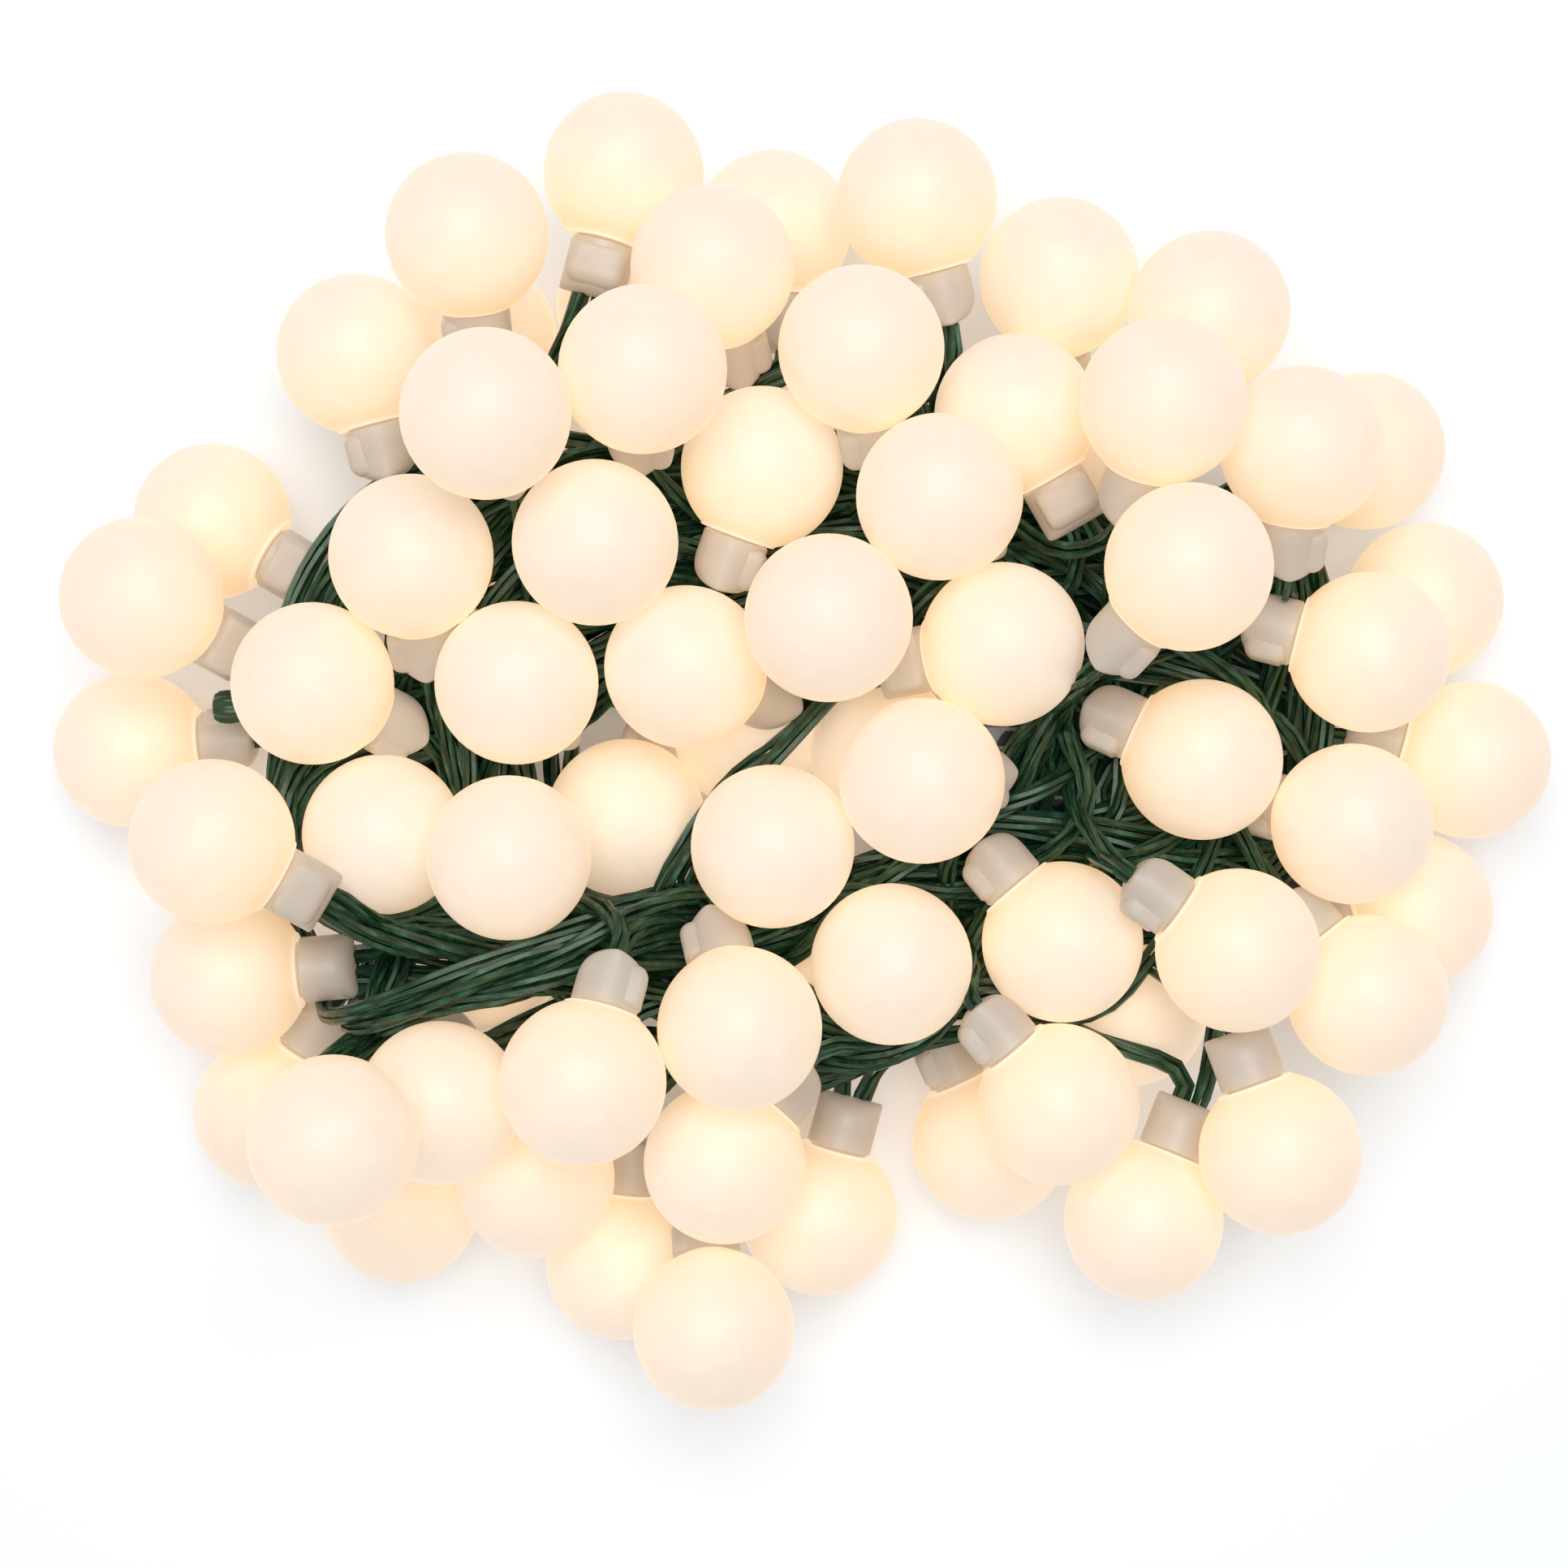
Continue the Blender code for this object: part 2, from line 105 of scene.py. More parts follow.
# Lights under the heap, lying on the surface and out of sight from above
UNDER_LIGHTS = [
    (-60, -40, 15, 60, 0, FLAT),
    (-62, 22, 15, -20, 0, FLAT),
    (8, -45, 15, 150, 0, FLAT),
    (10, 62, 15, -150, 0, FLAT),
    (62, 62, 15, 160, 0, FLAT),
    (-30, 45, 15, -40, 0, EDGE),
    (-89, -18, 15, 100, 0, FLAT),
]

# Cable
CABLE_R = 2.0 * MM
STRAND_COUNT = 4
STRAND_R = 0.72 * MM
STRAND_OFFSET = 1.15 * MM  # from the cable's middle to a strand's middle
STRAND_SIDES = 5
TWIST_PITCH = 75.0 * MM
STEP = 4.0 * MM  # between two points of the route
RING_STEP = 4.4 * MM  # between two rings of the finished strands
TOP_LIGHTS_FROM = 27.5 * MM  # lights whose globes are higher than this lie on top of the cable
CLEAR_LANE = 1.4  # globes farther out than this are never crossed by the cable
SINK = 1.0 * MM  # how far a turn that lies over such a light sinks in each round
SAG = 0.02 * MM  # how far the whole cable sinks in each round
CABLE_ROOM = 3.5 * MM  # between the middles of two turns that touch
LIGHT_STRIDE = 0.45  # share of a turn round the hank from one light to the next
RELAX_ROUNDS = 110
LEAST_SWEEP = math.radians(25)  # a run shorter than this goes once more round the hank
SEED = 8  # for the slight differences in tint from light to light
HANK_HALF_LENGTH = 78.0 * MM  # middle of the hank's turns, from its centre
HANK_HALF_WIDTH = 50.0 * MM
HANK_HEIGHT = 25.5 * MM
HANK_DEPTH = 24.0 * MM  # from its lowest turns to its highest
INNER_LANE, OUTER_LANE = 0.48, 1.22  # a lane's size, as a share of the hank's middle turn
FEED_ROUTE = [  # the cable's first stretch, from the gland to the inside of the hank, in mm
    (23.4, 7.0, 6.3),
    (17.5, 7.6, 5.8),
    (12.0, 10.5, 5.2),
    (8.0, 16.0, 5.4),
    (5.0, 22.0, 7.6),
    (2.0, 27.0, 12.0),
    (-1.0, 31.0, 17.6),
    (-3.0, 34.5, 22.0),
]
# Runs listed one by one, where turns lie together on top of the hank or stand out of it: how many, the
# step from one to the next, and their route, in mm
LAID_RUNS = [
    (4, (2.0, -1.8, 1.2), [
        (-84, -16, 28), (-90, -36, 34), (-91, -52, 44), (-84, -57, 52), (-66, -48, 56), (-44, -37, 56),
        (-28, -31, 51), (-12, -29, 40), (8, -27, 32)]),
    (4, (1.0, 3.2, -0.6), [
        (-92, -14, 36), (-86, -30, 40), (-70, -38, 44), (-50, -41, 45), (-25, -39, 41), (0, -34, 34)]),
    (3, (-1.6, 2.4, -1.0), [
        (28, 76, 38), (8, 80, 44), (-4, 75, 50), (-14, 65, 48), (-26, 52, 40)]),
    (4, (-3.0, 0.8, 1.0), [
        (94, -32, 26), (101, -8, 24), (103, 8, 22), (103, 26, 24), (99, 42, 30), (88, 56, 34)]),
    (4, (-2.6, -1.6, 0.8), [
        (-38, 64, 36), (-56, 42, 38), (-70, 20, 38), (-74, 4, 38), (-80, -12, 34)]),
    (4, (2.4, -1.8, 0.6), [
        (-52, 60, 34), (-70, 58, 34), (-84, 50, 32), (-94, 38, 31), (-97, 26, 31), (-96, 8, 28),
        (-94, -10, 30)]),
    (3, (2.6, 1.0, 0.8), [
        (-90, 20, 30), (-96, -2, 36), (-92, -18, 37), (-84, -32, 36)]),
    (2, (3.0, -2.4, 0.0), [
        (22, 30, 32), (9, 18, 40), (-1, 9, 44), (-9, 1, 43), (-18, -9, 38), (-34, -22, 34)]),
    (4, (2.2, -2.8, 0.4), [
        (20, -26, 27), (40, -20, 26), (60, -14, 28), (80, -6, 30), (90, 10, 34)]),
    (4, (1.2, 3.0, 0.4), [
        (26, -26, 37), (38, -12, 41), (52, -5, 41), (66, 6, 38), (84, 18, 33), (94, 32, 28)]),
    (4, (-0.6, -3.0, -0.6), [
        (22, -22, 42), (40, -18, 42), (58, -18, 36), (78, -20, 28), (98, -16, 24), (106, 0, 22)]),
    (3, (2.6, 1.4, -0.6), [
        (88, 16, 36), (84, 28, 38), (74, 40, 36), (58, 47, 32)]),
]


# ---- small helpers


def add_mesh(name, mesh, materials, body=MAIN_BODY, matrix=None, indices=None):
    """A smooth-shaded mesh object, placed by its points, that rides on a CAD body."""
    points, faces = mesh if matrix is None else moved(mesh, matrix)
    data = bpy.data.meshes.new(name)
    data.from_pydata([tuple(p) for p in points], [], [tuple(f) for f in faces])
    data.shade_smooth()
    data.set_sharp_from_angle(angle=math.radians(40))
    for material in materials:
        data.materials.append(material)
    if indices is not None:
        data.polygons.foreach_set("material_index", np.asarray(indices, np.int32))
    obj = bpy.data.objects.new(name, data)
    bpy.context.scene.collection.objects.link(obj)
    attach(obj, body)
    return obj


def set_attribute(obj, name, values):
    """Stores one number for each point, for the materials to read."""
    attribute = obj.data.attributes.new(name, "FLOAT", "POINT")
    attribute.data.foreach_set("value", np.asarray(values, np.float32))


def turned(rings, sides=TURN_SIDES, ring_shaped=False, lobes=0, lobe_depth=0.0):
    """Points and faces of a solid turned about Z. A ring is (radius, height, share of its width
    along X, share along Y). Lobes run along the solid, as folds do."""
    points, loops, faces = [], [], []
    for radius, height, *shares in rings:
        wide_x, wide_y = (*shares, 1.0, 1.0)[:2]
        count = sides if radius > 0 else 1
        loops.append(range(len(points), len(points) + count))
        for i in range(count):
            turn = 2 * math.pi * i / sides
            swell = radius * (1 + lobe_depth * math.cos(lobes * turn))
            points.append((swell * wide_x * math.cos(turn), swell * wide_y * math.sin(turn), height))
    pairs = list(zip(loops, loops[1:]))
    if ring_shaped:
        pairs.append((loops[-1], loops[0]))
    for lower, upper in pairs:
        for i in range(sides):
            j = (i + 1) % sides
            if len(lower) == 1:
                faces.append((lower[0], upper[j], upper[i]))
            elif len(upper) == 1:
                faces.append((lower[i], lower[j], upper[0]))
            else:
                faces.append((lower[i], lower[j], upper[j], upper[i]))
    return np.array(points), faces


def prism(outlines):
    """A solid through outlines that all hold the same number of (x, y, z) points."""
    count = len(outlines[0])
    points = np.array([p for outline in outlines for p in outline])
    faces = [tuple(reversed(range(count))), tuple(range(len(points) - count, len(points)))]
    for layer in range(len(outlines) - 1):
        a, b = layer * count, (layer + 1) * count
        for i in range(count):
            j = (i + 1) % count
            faces.append((a + i, a + j, b + j, b + i))
    return points, faces


def rounded_outline(low, high, corner, height):
    """Points of a rounded rectangle, anticlockwise seen from above."""
    steps = 6
    points = []
    corners = ((0, high[0], high[1]), (90, low[0], high[1]), (180, low[0], low[1]), (270, high[0], low[1]))
    for turn, x, y in corners:
        middle_x = x - math.copysign(corner, x - (low[0] + high[0]) / 2)
        middle_y = y - math.copysign(corner, y - (low[1] + high[1]) / 2)
        for i in range(steps + 1):
            angle = math.radians(turn + 90 * i / steps)
            points.append((middle_x + corner * math.cos(angle), middle_y + corner * math.sin(angle), height))
    return points


def slab(low, high, corner, bevel):
    """A plate with rounded corners and softened edges; low and high are (x, y, z)."""
    layers = [(low[2], bevel), (low[2] + bevel, 0.0), (high[2] - bevel, 0.0), (high[2], bevel)]
    outlines = []
    for height, inset in layers:
        inner_low, inner_high = (low[0] + inset, low[1] + inset), (high[0] - inset, high[1] - inset)
        outlines.append(rounded_outline(inner_low, inner_high, corner - 0.9 * inset, height))
    return prism(outlines)


def joined(*meshes):
    """Several (points, faces) as one."""
    points, faces, start = [], [], 0
    for some_points, some_faces in meshes:
        points.append(some_points)
        faces += [tuple(start + i for i in face) for face in some_faces]
        start += len(some_points)
    return np.concatenate(points), faces


def moved(mesh, matrix):
    """A copy of (points, faces) with its points moved by the matrix."""
    m = np.array(matrix)
    return mesh[0] @ m[:3, :3].T + m[:3, 3], mesh[1]


def laid_along_x(mesh, low, high):
    """A solid turned with its rings in rising order, laid along +X in the middle of a box."""
    outward = [tuple(reversed(face)) for face in mesh[1]]
    foot = Vector((low.x, (low.y + high.y) / 2, (low.z + high.z) / 2))
    matrix = Matrix.Translation(foot) @ Matrix.Rotation(math.radians(90), 4, "Y")
    return moved((mesh[0], outward), matrix)


# ---- materials


class Shader:
    """A node material whose Principled BSDF is fed through short calls."""

    def __init__(self, name, **values):
        self.material = bpy.data.materials.new(name)
        self.material.use_nodes = True
        self.tree = self.material.node_tree
        self.principled = self.tree.nodes["Principled BSDF"]
        for socket, value in values.items():
            self.principled.inputs[socket.replace("_", " ")].default_value = value

    def put(self, socket, value):
        if isinstance(value, bpy.types.NodeSocket):
            self.tree.links.new(value, socket)
        elif socket.type == "RGBA":
            socket.default_value = (*value, 1.0)
        else:
            socket.default_value = value

    def node(self, kind, settings=None, **inputs):
        made = self.tree.nodes.new("ShaderNode" + kind)
        for key, value in (settings or {}).items():
            setattr(made, key, value)
        for socket, value in inputs.items():
            self.put(made.inputs[socket.replace("_", " ")], value)
        return made

    def attribute(self, name):
        return self.node("Attribute", {"attribute_name": name}).outputs["Fac"]

    def place(self):
        return self.node("TexCoord").outputs["Object"]

    def noise(self, scale, detail=3.0, vector=None):
        return self.node("TexNoise", Scale=scale, Detail=detail, Vector=vector or self.place()).outputs["Fac"]

    def ramp(self, factor, stops):
        """A colour ramp; a stop is (position, grey) or (position, (r, g, b))."""
        made = self.node("ValToRGB", Fac=factor)
        elements = made.color_ramp.elements
        while len(elements) < len(stops):
            elements.new(0.5)
        for element, (position, colour) in zip(elements, stops):
            element.position = position
            element.color = (*colour, 1.0) if hasattr(colour, "__len__") else (colour, colour, colour, 1.0)
        return made.outputs["Color"]

    def mottled(self, scale, darker, lighter):
        """Noise that runs from one colour or grey to another."""
        return self.ramp(self.noise(scale), [(0.3, darker), (0.7, lighter)])

    def mix(self, factor, first, second, blend="MIX"):
        made = self.node("Mix", {"data_type": "RGBA", "blend_type": blend})
        for socket, value in zip((s for s in made.inputs if s.enabled), (factor, first, second)):
            self.put(socket, value)
        return next(s for s in made.outputs if s.enabled)

    def feed(self, **links):
        for socket, source in links.items():
            self.tree.links.new(source, self.principled.inputs[socket.replace("_", " ")])

    def bump(self, height, depth, strength=1.0):
        made = self.node("Bump", Height=height, Distance=depth, Strength=strength)
        self.feed(Normal=made.outputs["Normal"])


def frosted_globe():
    """Satin white plastic, lit from inside: warm and bright towards the LED, paler at the far pole."""
    s = Shader("frosted_globe", Emission_Strength=1.0, IOR=1.45)
    # The first two stops paint the mouth ring a paler, lighter glow: painted light that lifts the shade where
    # the globe meets its lampholder.
    glow = s.ramp(s.attribute("along"), [(0.0, (0.66, 0.46, 0.31)), (0.058, (0.66, 0.46, 0.31)),
                                         (0.075, (0.68, 0.405, 0.20)), (0.20, (0.655, 0.41, 0.235)),
                                         (0.55, (0.58, 0.388, 0.262)), (1.0, (0.525, 0.365, 0.275))])
    warm = s.mix(s.attribute("tint"), (1.02, 1.05, 0.94), (1.00, 1.025, 0.965))
    s.feed(Emission_Color=s.mix(1.0, glow, warm, "MULTIPLY"))
    s.feed(Base_Color=s.mottled(220.0, (0.445, 0.456, 0.436), (0.475, 0.486, 0.466)))
    s.feed(Roughness=s.mottled(900.0, 0.40, 0.50))
    s.bump(s.noise(2500.0, 2.0), 0.02 * MM)
    return s.material


def milky_lampholder():
    """Milky beige moulding with a painted glow: an emission standing in for the globe's light shining through
    it, faint along the body and strongest at the shoulder.
    """
    s = Shader("milky_lampholder", Emission_Strength=1.0, IOR=1.46)
    # Painted glow: emission on the lampholder, which is no lamp, rising from the tail to the shoulder by the
    # globe.
    s.feed(Emission_Color=s.ramp(s.attribute("along"), [(0.0, (0.13, 0.098, 0.070)),
                                                        (0.6, (0.14, 0.104, 0.074)),
                                                        (1.0, (0.24, 0.162, 0.098))]))
    s.feed(Base_Color=s.mottled(120.0, (0.41, 0.375, 0.33), (0.45, 0.41, 0.365)))
    s.feed(Roughness=s.mottled(700.0, 0.32, 0.46))
    s.bump(s.noise(900.0, 2.0), 0.03 * MM)
    return s.material


def clear_led():
    """Clear epoxy with the lit chip's glow inside."""
    s = Shader("clear_led", Roughness=0.08, Emission_Strength=2.2, IOR=1.5)
    s.feed(Emission_Color=s.ramp(s.attribute("along"), [(0.0, (0.9, 0.50, 0.15)), (1.0, (1.0, 0.80, 0.45))]))
    s.feed(Base_Color=s.mottled(500.0, (0.90, 0.80, 0.60), (0.95, 0.88, 0.70)))
    return s.material


def green_cable():
    """Glossy dark green PVC with streaks along each strand."""
    s = Shader("green_cable", IOR=1.5, Specular_Tint=(0.92, 1.0, 0.84, 1.0))
    strand = s.node("UVMap", {"uv_map": "strand"}).outputs["UV"]
    wide = s.node("Mapping", Vector=strand, Scale=(90.0, 2.2, 1.0)).outputs["Vector"]
    fine = s.node("Mapping", Vector=strand, Scale=(240.0, 5.0, 1.0)).outputs["Vector"]
    s.feed(Base_Color=s.ramp(s.noise(1.0, 3.0, wide), [(0.30, (0.005, 0.016, 0.006)),
                                                       (0.50, (0.014, 0.047, 0.022)),
                                                       (0.72, (0.046, 0.150, 0.092))]))
    s.feed(Roughness=s.mottled(160.0, 0.20, 0.36))
    s.bump(s.noise(1.0, 2.0, fine), 0.05 * MM)
    return s.material


def moulding(name, colour, roughness, grain_scale, grain_depth, metallic=0.0):
    """Moulded plastic, rubber or bare metal with fine grain and slight changes of shade."""
    s = Shader(name, Metallic=metallic)
    darker = tuple(0.8 * c for c in colour)
    s.feed(Base_Color=s.mottled(90.0, darker, colour))
    s.feed(Roughness=s.mottled(grain_scale, roughness - 0.06, roughness + 0.06))
    s.bump(s.noise(grain_scale, 2.0), grain_depth)
    return s.material


def solar_cell():
    """Dark blue crystalline silicon under clear epoxy."""
    s = Shader("solar_cell", Coat_Weight=1.0, Coat_Roughness=0.06)
    crystals = s.node("TexVoronoi", Scale=260.0, Vector=s.place()).outputs["Color"]
    blue = s.mottled(30.0, (0.006, 0.012, 0.045), (0.012, 0.022, 0.075))
    s.feed(Base_Color=s.mix(0.35, blue, s.mix(1.0, crystals, (0.012, 0.024, 0.09), "MULTIPLY")))
    s.feed(Roughness=s.mottled(400.0, 0.22, 0.34))
    return s.material


def make_materials():
    """Every material, by what it is used for."""
    return {
        "globe": frosted_globe(),
        "lampholder": milky_lampholder(),
        "led": clear_led(),
        "cable": green_cable(),
        "cell": solar_cell(),
        "housing": moulding("black_housing", (0.030, 0.030, 0.032), 0.48, 1600.0, 0.04 * MM),
        "laminate": moulding("laminate_edge", (0.020, 0.022, 0.030), 0.30, 300.0, 0.01 * MM),
        "rubber": moulding("black_rubber", (0.022, 0.022, 0.022), 0.72, 1200.0, 0.03 * MM),
        "wrap": moulding("battery_wrap", (0.04, 0.33, 0.11), 0.28, 200.0, 0.01 * MM),
        "board": moulding("circuit_board", (0.015, 0.16, 0.06), 0.42, 700.0, 0.02 * MM),
        "chip": moulding("chip_resin", (0.025, 0.025, 0.027), 0.55, 1500.0, 0.02 * MM),
        "metal": moulding("tinned_metal", (0.42, 0.42, 0.44), 0.42, 600.0, 0.01 * MM, metallic=1.0),
    }


# ---- places of the lights


def node_points(names):
    """The distinct corners of some CAD nodes."""
    corners = [np.array([v.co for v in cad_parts[n].data.vertices]) for n in names]
    return np.unique(np.round(np.concatenate(corners), 6), axis=0)


def matrix_of_solid(names):
    """A light's place, read from its CAD solid. The origin is the globe's centre, +Z runs away
    from the lampholder, and Y runs across the lampholder's wide side."""
    points = node_points(names)
    middle = points.mean(axis=0)
    axis = np.linalg.svd(points - middle)[2][0]
    along = (points - middle) @ axis
    width = np.linalg.norm(points - middle - along[:, None] * axis, axis=1)
    if width[along.argmax()] > width[along.argmin()]:
        axis, along = -axis, -along
    tail = points[along < along.min() + 0.2 * MM]
    across = np.linalg.svd(tail - tail.mean(axis=0))[2][0]
    across = across - (across @ axis) * axis
    across /= np.linalg.norm(across)
    matrix = Matrix.Identity(4)
    columns = (np.cross(across, axis), across, axis, points[along.argmax()] - axis * GLOBE_R)
    for column, values in enumerate(columns):
        for row in range(3):
            matrix[row][column] = values[row]
    return matrix


def matrix_of_place(place):
    """Local +Z runs from the lampholder to the globe's far pole, and the origin is the globe's centre."""
    x, y, z, bearing, dip, roll = place
    turn = Matrix.Rotation(math.radians(bearing), 4, "Z")
    lean = Matrix.Rotation(math.radians(90 + dip) - math.pi, 4, "Y")
    spin = Matrix.Rotation(math.radians(roll), 4, "Z")
    return Matrix.Translation(Vector((x, y, z)) * MM) @ turn @ lean @ spin


# ---- lights


def globe_rings(hollow):
    """Pole, ball and rounded mouth; a hollow globe goes on up its inside."""
    mouth_r = SPIGOT_R + 1.5 * MM
    last = math.pi - math.asin((mouth_r + 0.5 * MM) / GLOBE_R)
    bands = 36
    rings = [(0.0, GLOBE_R)]
    for i in range(1, bands + 1):
        angle = last * i / bands
        rings.append((GLOBE_R * math.sin(angle), GLOBE_R * math.cos(angle)))
    foot = rings[-1][1] - 0.35 * MM
    rings += [(mouth_r + 0.35 * MM, foot), (mouth_r, foot - 0.1 * MM), (mouth_r - 0.9 * MM, foot)]
    inside_r = GLOBE_R - GLOBE_WALL
    if hollow:
        first = math.asin((mouth_r - 1.1 * MM) / inside_r)
        for i in range(bands):
            angle = (math.pi - first) * (1 - i / bands)
            rings.append((inside_r * math.sin(angle), inside_r * math.cos(angle)))
        rings.append((0.0, inside_r))
    else:
        rings += [(mouth_r - 0.9 * MM, foot + 2 * MM), (0.0, foot + 2 * MM)]
    return rings


def holder_rings():
    """LED pocket, spigot, shoulder, body, and a tail that is rounded seen along Y and square along X."""
    top = -GLOBE_R + 5.0 * MM
    shoulder = -math.sqrt(GLOBE_R**2 - (SPIGOT_R + 1.3 * MM) ** 2) - 0.3 * MM
    body_end = -HOLDER_TAIL + HOLDER_R
    rings = [
        (0.0, top - 3.3 * MM),
        (LED_R + 0.3 * MM, top - 3.3 * MM),
        (LED_R + 0.3 * MM, top - 0.2 * MM),
        (LED_R + 0.5 * MM, top),
        (SPIGOT_R - 0.4 * MM, top),
        (SPIGOT_R, top - 0.4 * MM),
        (SPIGOT_R, shoulder + 0.05 * MM),
        (HOLDER_R - 0.35 * MM, shoulder),
        (HOLDER_R, shoulder - 0.35 * MM),
        (HOLDER_R, shoulder - 2.0 * MM),
        (HOLDER_R, body_end),
    ]
    steps = 14
    for i in range(1, steps + 1):
        turn = math.radians(86) * i / steps
        drop = math.sin(turn) ** 0.8
        edge = 1.0 - 0.10 * max(0.0, (i - 10) / 4) ** 2
        rings.append((HOLDER_R, body_end - HOLDER_R * drop, math.cos(turn) ** 0.72, edge))
    rings.append((0.0, -HOLDER_TAIL))
    return rings


def clip_mesh():
    """The clip moulded to one side of a lampholder: a rounded tongue, a little shorter than the body."""
    inner, outer, top, end, corner = 2.2, 6.6, -14.6, -22.6, 2.4
    middle = (3.4, -17.6)
    outline = [(inner, end), (inner, top), (outer - 1.0, top), (outer, top - 1.0)]
    for i in range(9):
        angle = math.radians(-90 * i / 8)
        outline.append((outer - corner + corner * math.cos(angle), end + corner + corner * math.sin(angle)))
    layers = []
    for turn in range(-90, 91, 15):
        y, share = 5.2 * math.sin(math.radians(turn)), 1 - 0.36 * (1 - math.cos(math.radians(turn))) ** 2
        layers.append([((middle[0] + (x - middle[0]) * share) * MM, y * MM,
                        (middle[1] + (z - middle[1]) * share) * MM) for x, z in outline])
    return prism(layers)


def led_rings():
    """The LED's rim, body and dome."""
    foot = -GLOBE_R + 2.0 * MM
    shoulder = foot + 6.0 * MM
    rings = [(0.0, foot), (LED_R + 0.2 * MM, foot), (LED_R + 0.2 * MM, foot + 0.9 * MM),
             (LED_R, foot + 1.1 * MM), (LED_R, shoulder)]
    steps = 8
    for i in range(1, steps):
        angle = math.radians(90 * i / steps)
        rings.append((LED_R * math.cos(angle), shoulder + LED_R * math.sin(angle)))
    return rings + [(0.0, shoulder + LED_R)]


def along_globe(points):
    """0 at the lampholder and 1 at the far pole."""
    return (points[:, 2] / GLOBE_R + 1) / 2


def along_holder(points):
    """0 at the tail and 1 at the globe."""
    return np.clip((points[:, 2] + HOLDER_TAIL) / (HOLDER_TAIL - 0.85 * GLOBE_R), 0, 1)


def along_led(points):
    """0 at the LED's foot and 1 at its dome."""
    return np.clip((points[:, 2] + GLOBE_R - 2 * MM) / (8 * MM), 0, 1)


def make_piece(name, kind, matrix, tint, body=MAIN_BODY):
    """One part of one light, at the light's place. A kind is (mesh, along, material, slot)."""
    mesh, along, material, slot = kind
    obj = add_mesh(name, mesh, [material], body, matrix)
    set_attribute(obj, "along", along(mesh[0]))
    set_attribute(obj, "tint", np.full(len(mesh[0]), tint))
    return obj


def make_group(name, kind, matrices, tints):
    """The same part of several lights, as one piece."""
    mesh, along, material, slot = kind
    obj = add_mesh(name, joined(*(moved(mesh, m) for m in matrices)), [material])
    set_attribute(obj, "along", np.tile(along(mesh[0]), len(matrices)))
    set_attribute(obj, "tint", np.repeat(tints, len(mesh[0])))


def make_lights(materials, whole, sides, inner):
    """Whole and sides are {CAD name: place}; inner is a list of places."""
    random = np.random.default_rng(SEED)
    frosted, milky = materials["globe"], materials["lampholder"]
    closed_globe = (turned(globe_rings(hollow=False)), along_globe, frosted, "frosted_globe")
    hollow_globe = (turned(globe_rings(hollow=True)), along_globe, frosted, "frosted_globe")
    holder = (joined(turned(holder_rings()), clip_mesh()), along_holder, milky, "milky_lampholder")
    led = (turned(led_rings(), 40), along_led, materials["led"], "clear_led")
    for name, matrix in whole.items():
        short, tint = name[len("light_"):], random.uniform()
        globe = make_piece(f"frosted_{short}", closed_globe, matrix, tint)
        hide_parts(name)
        make_piece(f"holder_{short}", holder, matrix, tint)
    for side, matrix in sides.items():
        tint = random.uniform()
        globe = make_piece(f"frosted_{side}", hollow_globe, matrix, tint, f"globe_{side}")
        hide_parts(f"globe_{side}")
        piece = make_piece(f"holder_{side}", holder, matrix, tint)
        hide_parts(f"lampholder_{side}")
        piece = make_piece(f"lamp_{side}", led, matrix, tint)
        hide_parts(f"led_{side}")
    tints = random.uniform(0, 1, len(inner))
    make_group("frosted_inner", closed_globe, inner, tints)
    make_group("holders_inner", holder, inner, tints)


# ---- cable route


def tail_of(matrix):
    """The middle of a lampholder's tail end, the way out of it, and its wide side."""
    m = np.array(matrix)
    return m[:3, 3] - m[:3, 2] * HOLDER_TAIL, -m[:3, 2], m[:3, 1]


def lane_of(point):
    """A point's turn round the hank and its lane's size."""
    x, y = point[0] / HANK_HALF_LENGTH, point[1] / HANK_HALF_WIDTH
    return math.atan2(y, x), math.hypot(x, y)


def lane_point(turn, lane, height):
    """The place at a turn round the hank, in a lane and at a height."""
    x, y = lane * HANK_HALF_LENGTH * math.cos(turn), lane * HANK_HALF_WIDTH * math.sin(turn)
    return np.array([x, y, height])


def visiting_order(matrices):
    """The lights in the order in which the cable reaches them, about LIGHT_STRIDE of a turn apart."""
    tails = [tail_of(m)[0] for m in matrices]
    by_turn = sorted(range(len(matrices)), key=lambda i: lane_of(tails[i])[0])
    stride = round(LIGHT_STRIDE * len(matrices))
    while math.gcd(stride, len(matrices)) > 1:
        stride += 1
    start = len(matrices) // 3
    return [by_turn[(start + stride * i) % len(matrices)] for i in range(len(matrices))]


class Lanes:
    """Deals out lanes and heights that fill the hank's section evenly."""

    def __init__(self):
        self.count = 0

    def next(self):
        self.count += 1
        across = (self.count * 0.6180) % 1.0
        up = (self.count * 0.7549 + 0.3) % 1.0
        return INNER_LANE + (OUTER_LANE - INNER_LANE) * across, HANK_HEIGHT + HANK_DEPTH * (up - 0.5)


def sweep_between(start, end):
    """How far round the hank the end lies from the start, always the same way round."""
    return (lane_of(end)[0] - lane_of(start)[0]) % (2 * math.pi)


def run_between(start, end, lanes):
    """Points of the run round the hank from one place to the next."""
    turn_a, lane_a = lane_of(start)
    lane_b = lane_of(end)[1]
    sweep = sweep_between(start, end)
    if sweep < LEAST_SWEEP:
        sweep += 2 * math.pi
    count = max(3, round(sweep / math.radians(20)))
    first, first_height = lanes.next()
    second, second_height = lanes.next()
    points = []
    for i in range(1, count):
        t = i / count
        stay = math.sin(math.pi * t) ** 0.7
        lane = (lane_a + (lane_b - lane_a) * t) * (1 - stay) + (first + (second - first) * t) * stay
        middle = first_height + (second_height - first_height) * t
        height = (start[2] + (end[2] - start[2]) * t) * (1 - stay) + middle * stay
        points.append(lane_point(turn_a + sweep * t, min(max(lane, INNER_LANE), OUTER_LANE), height))
    return points


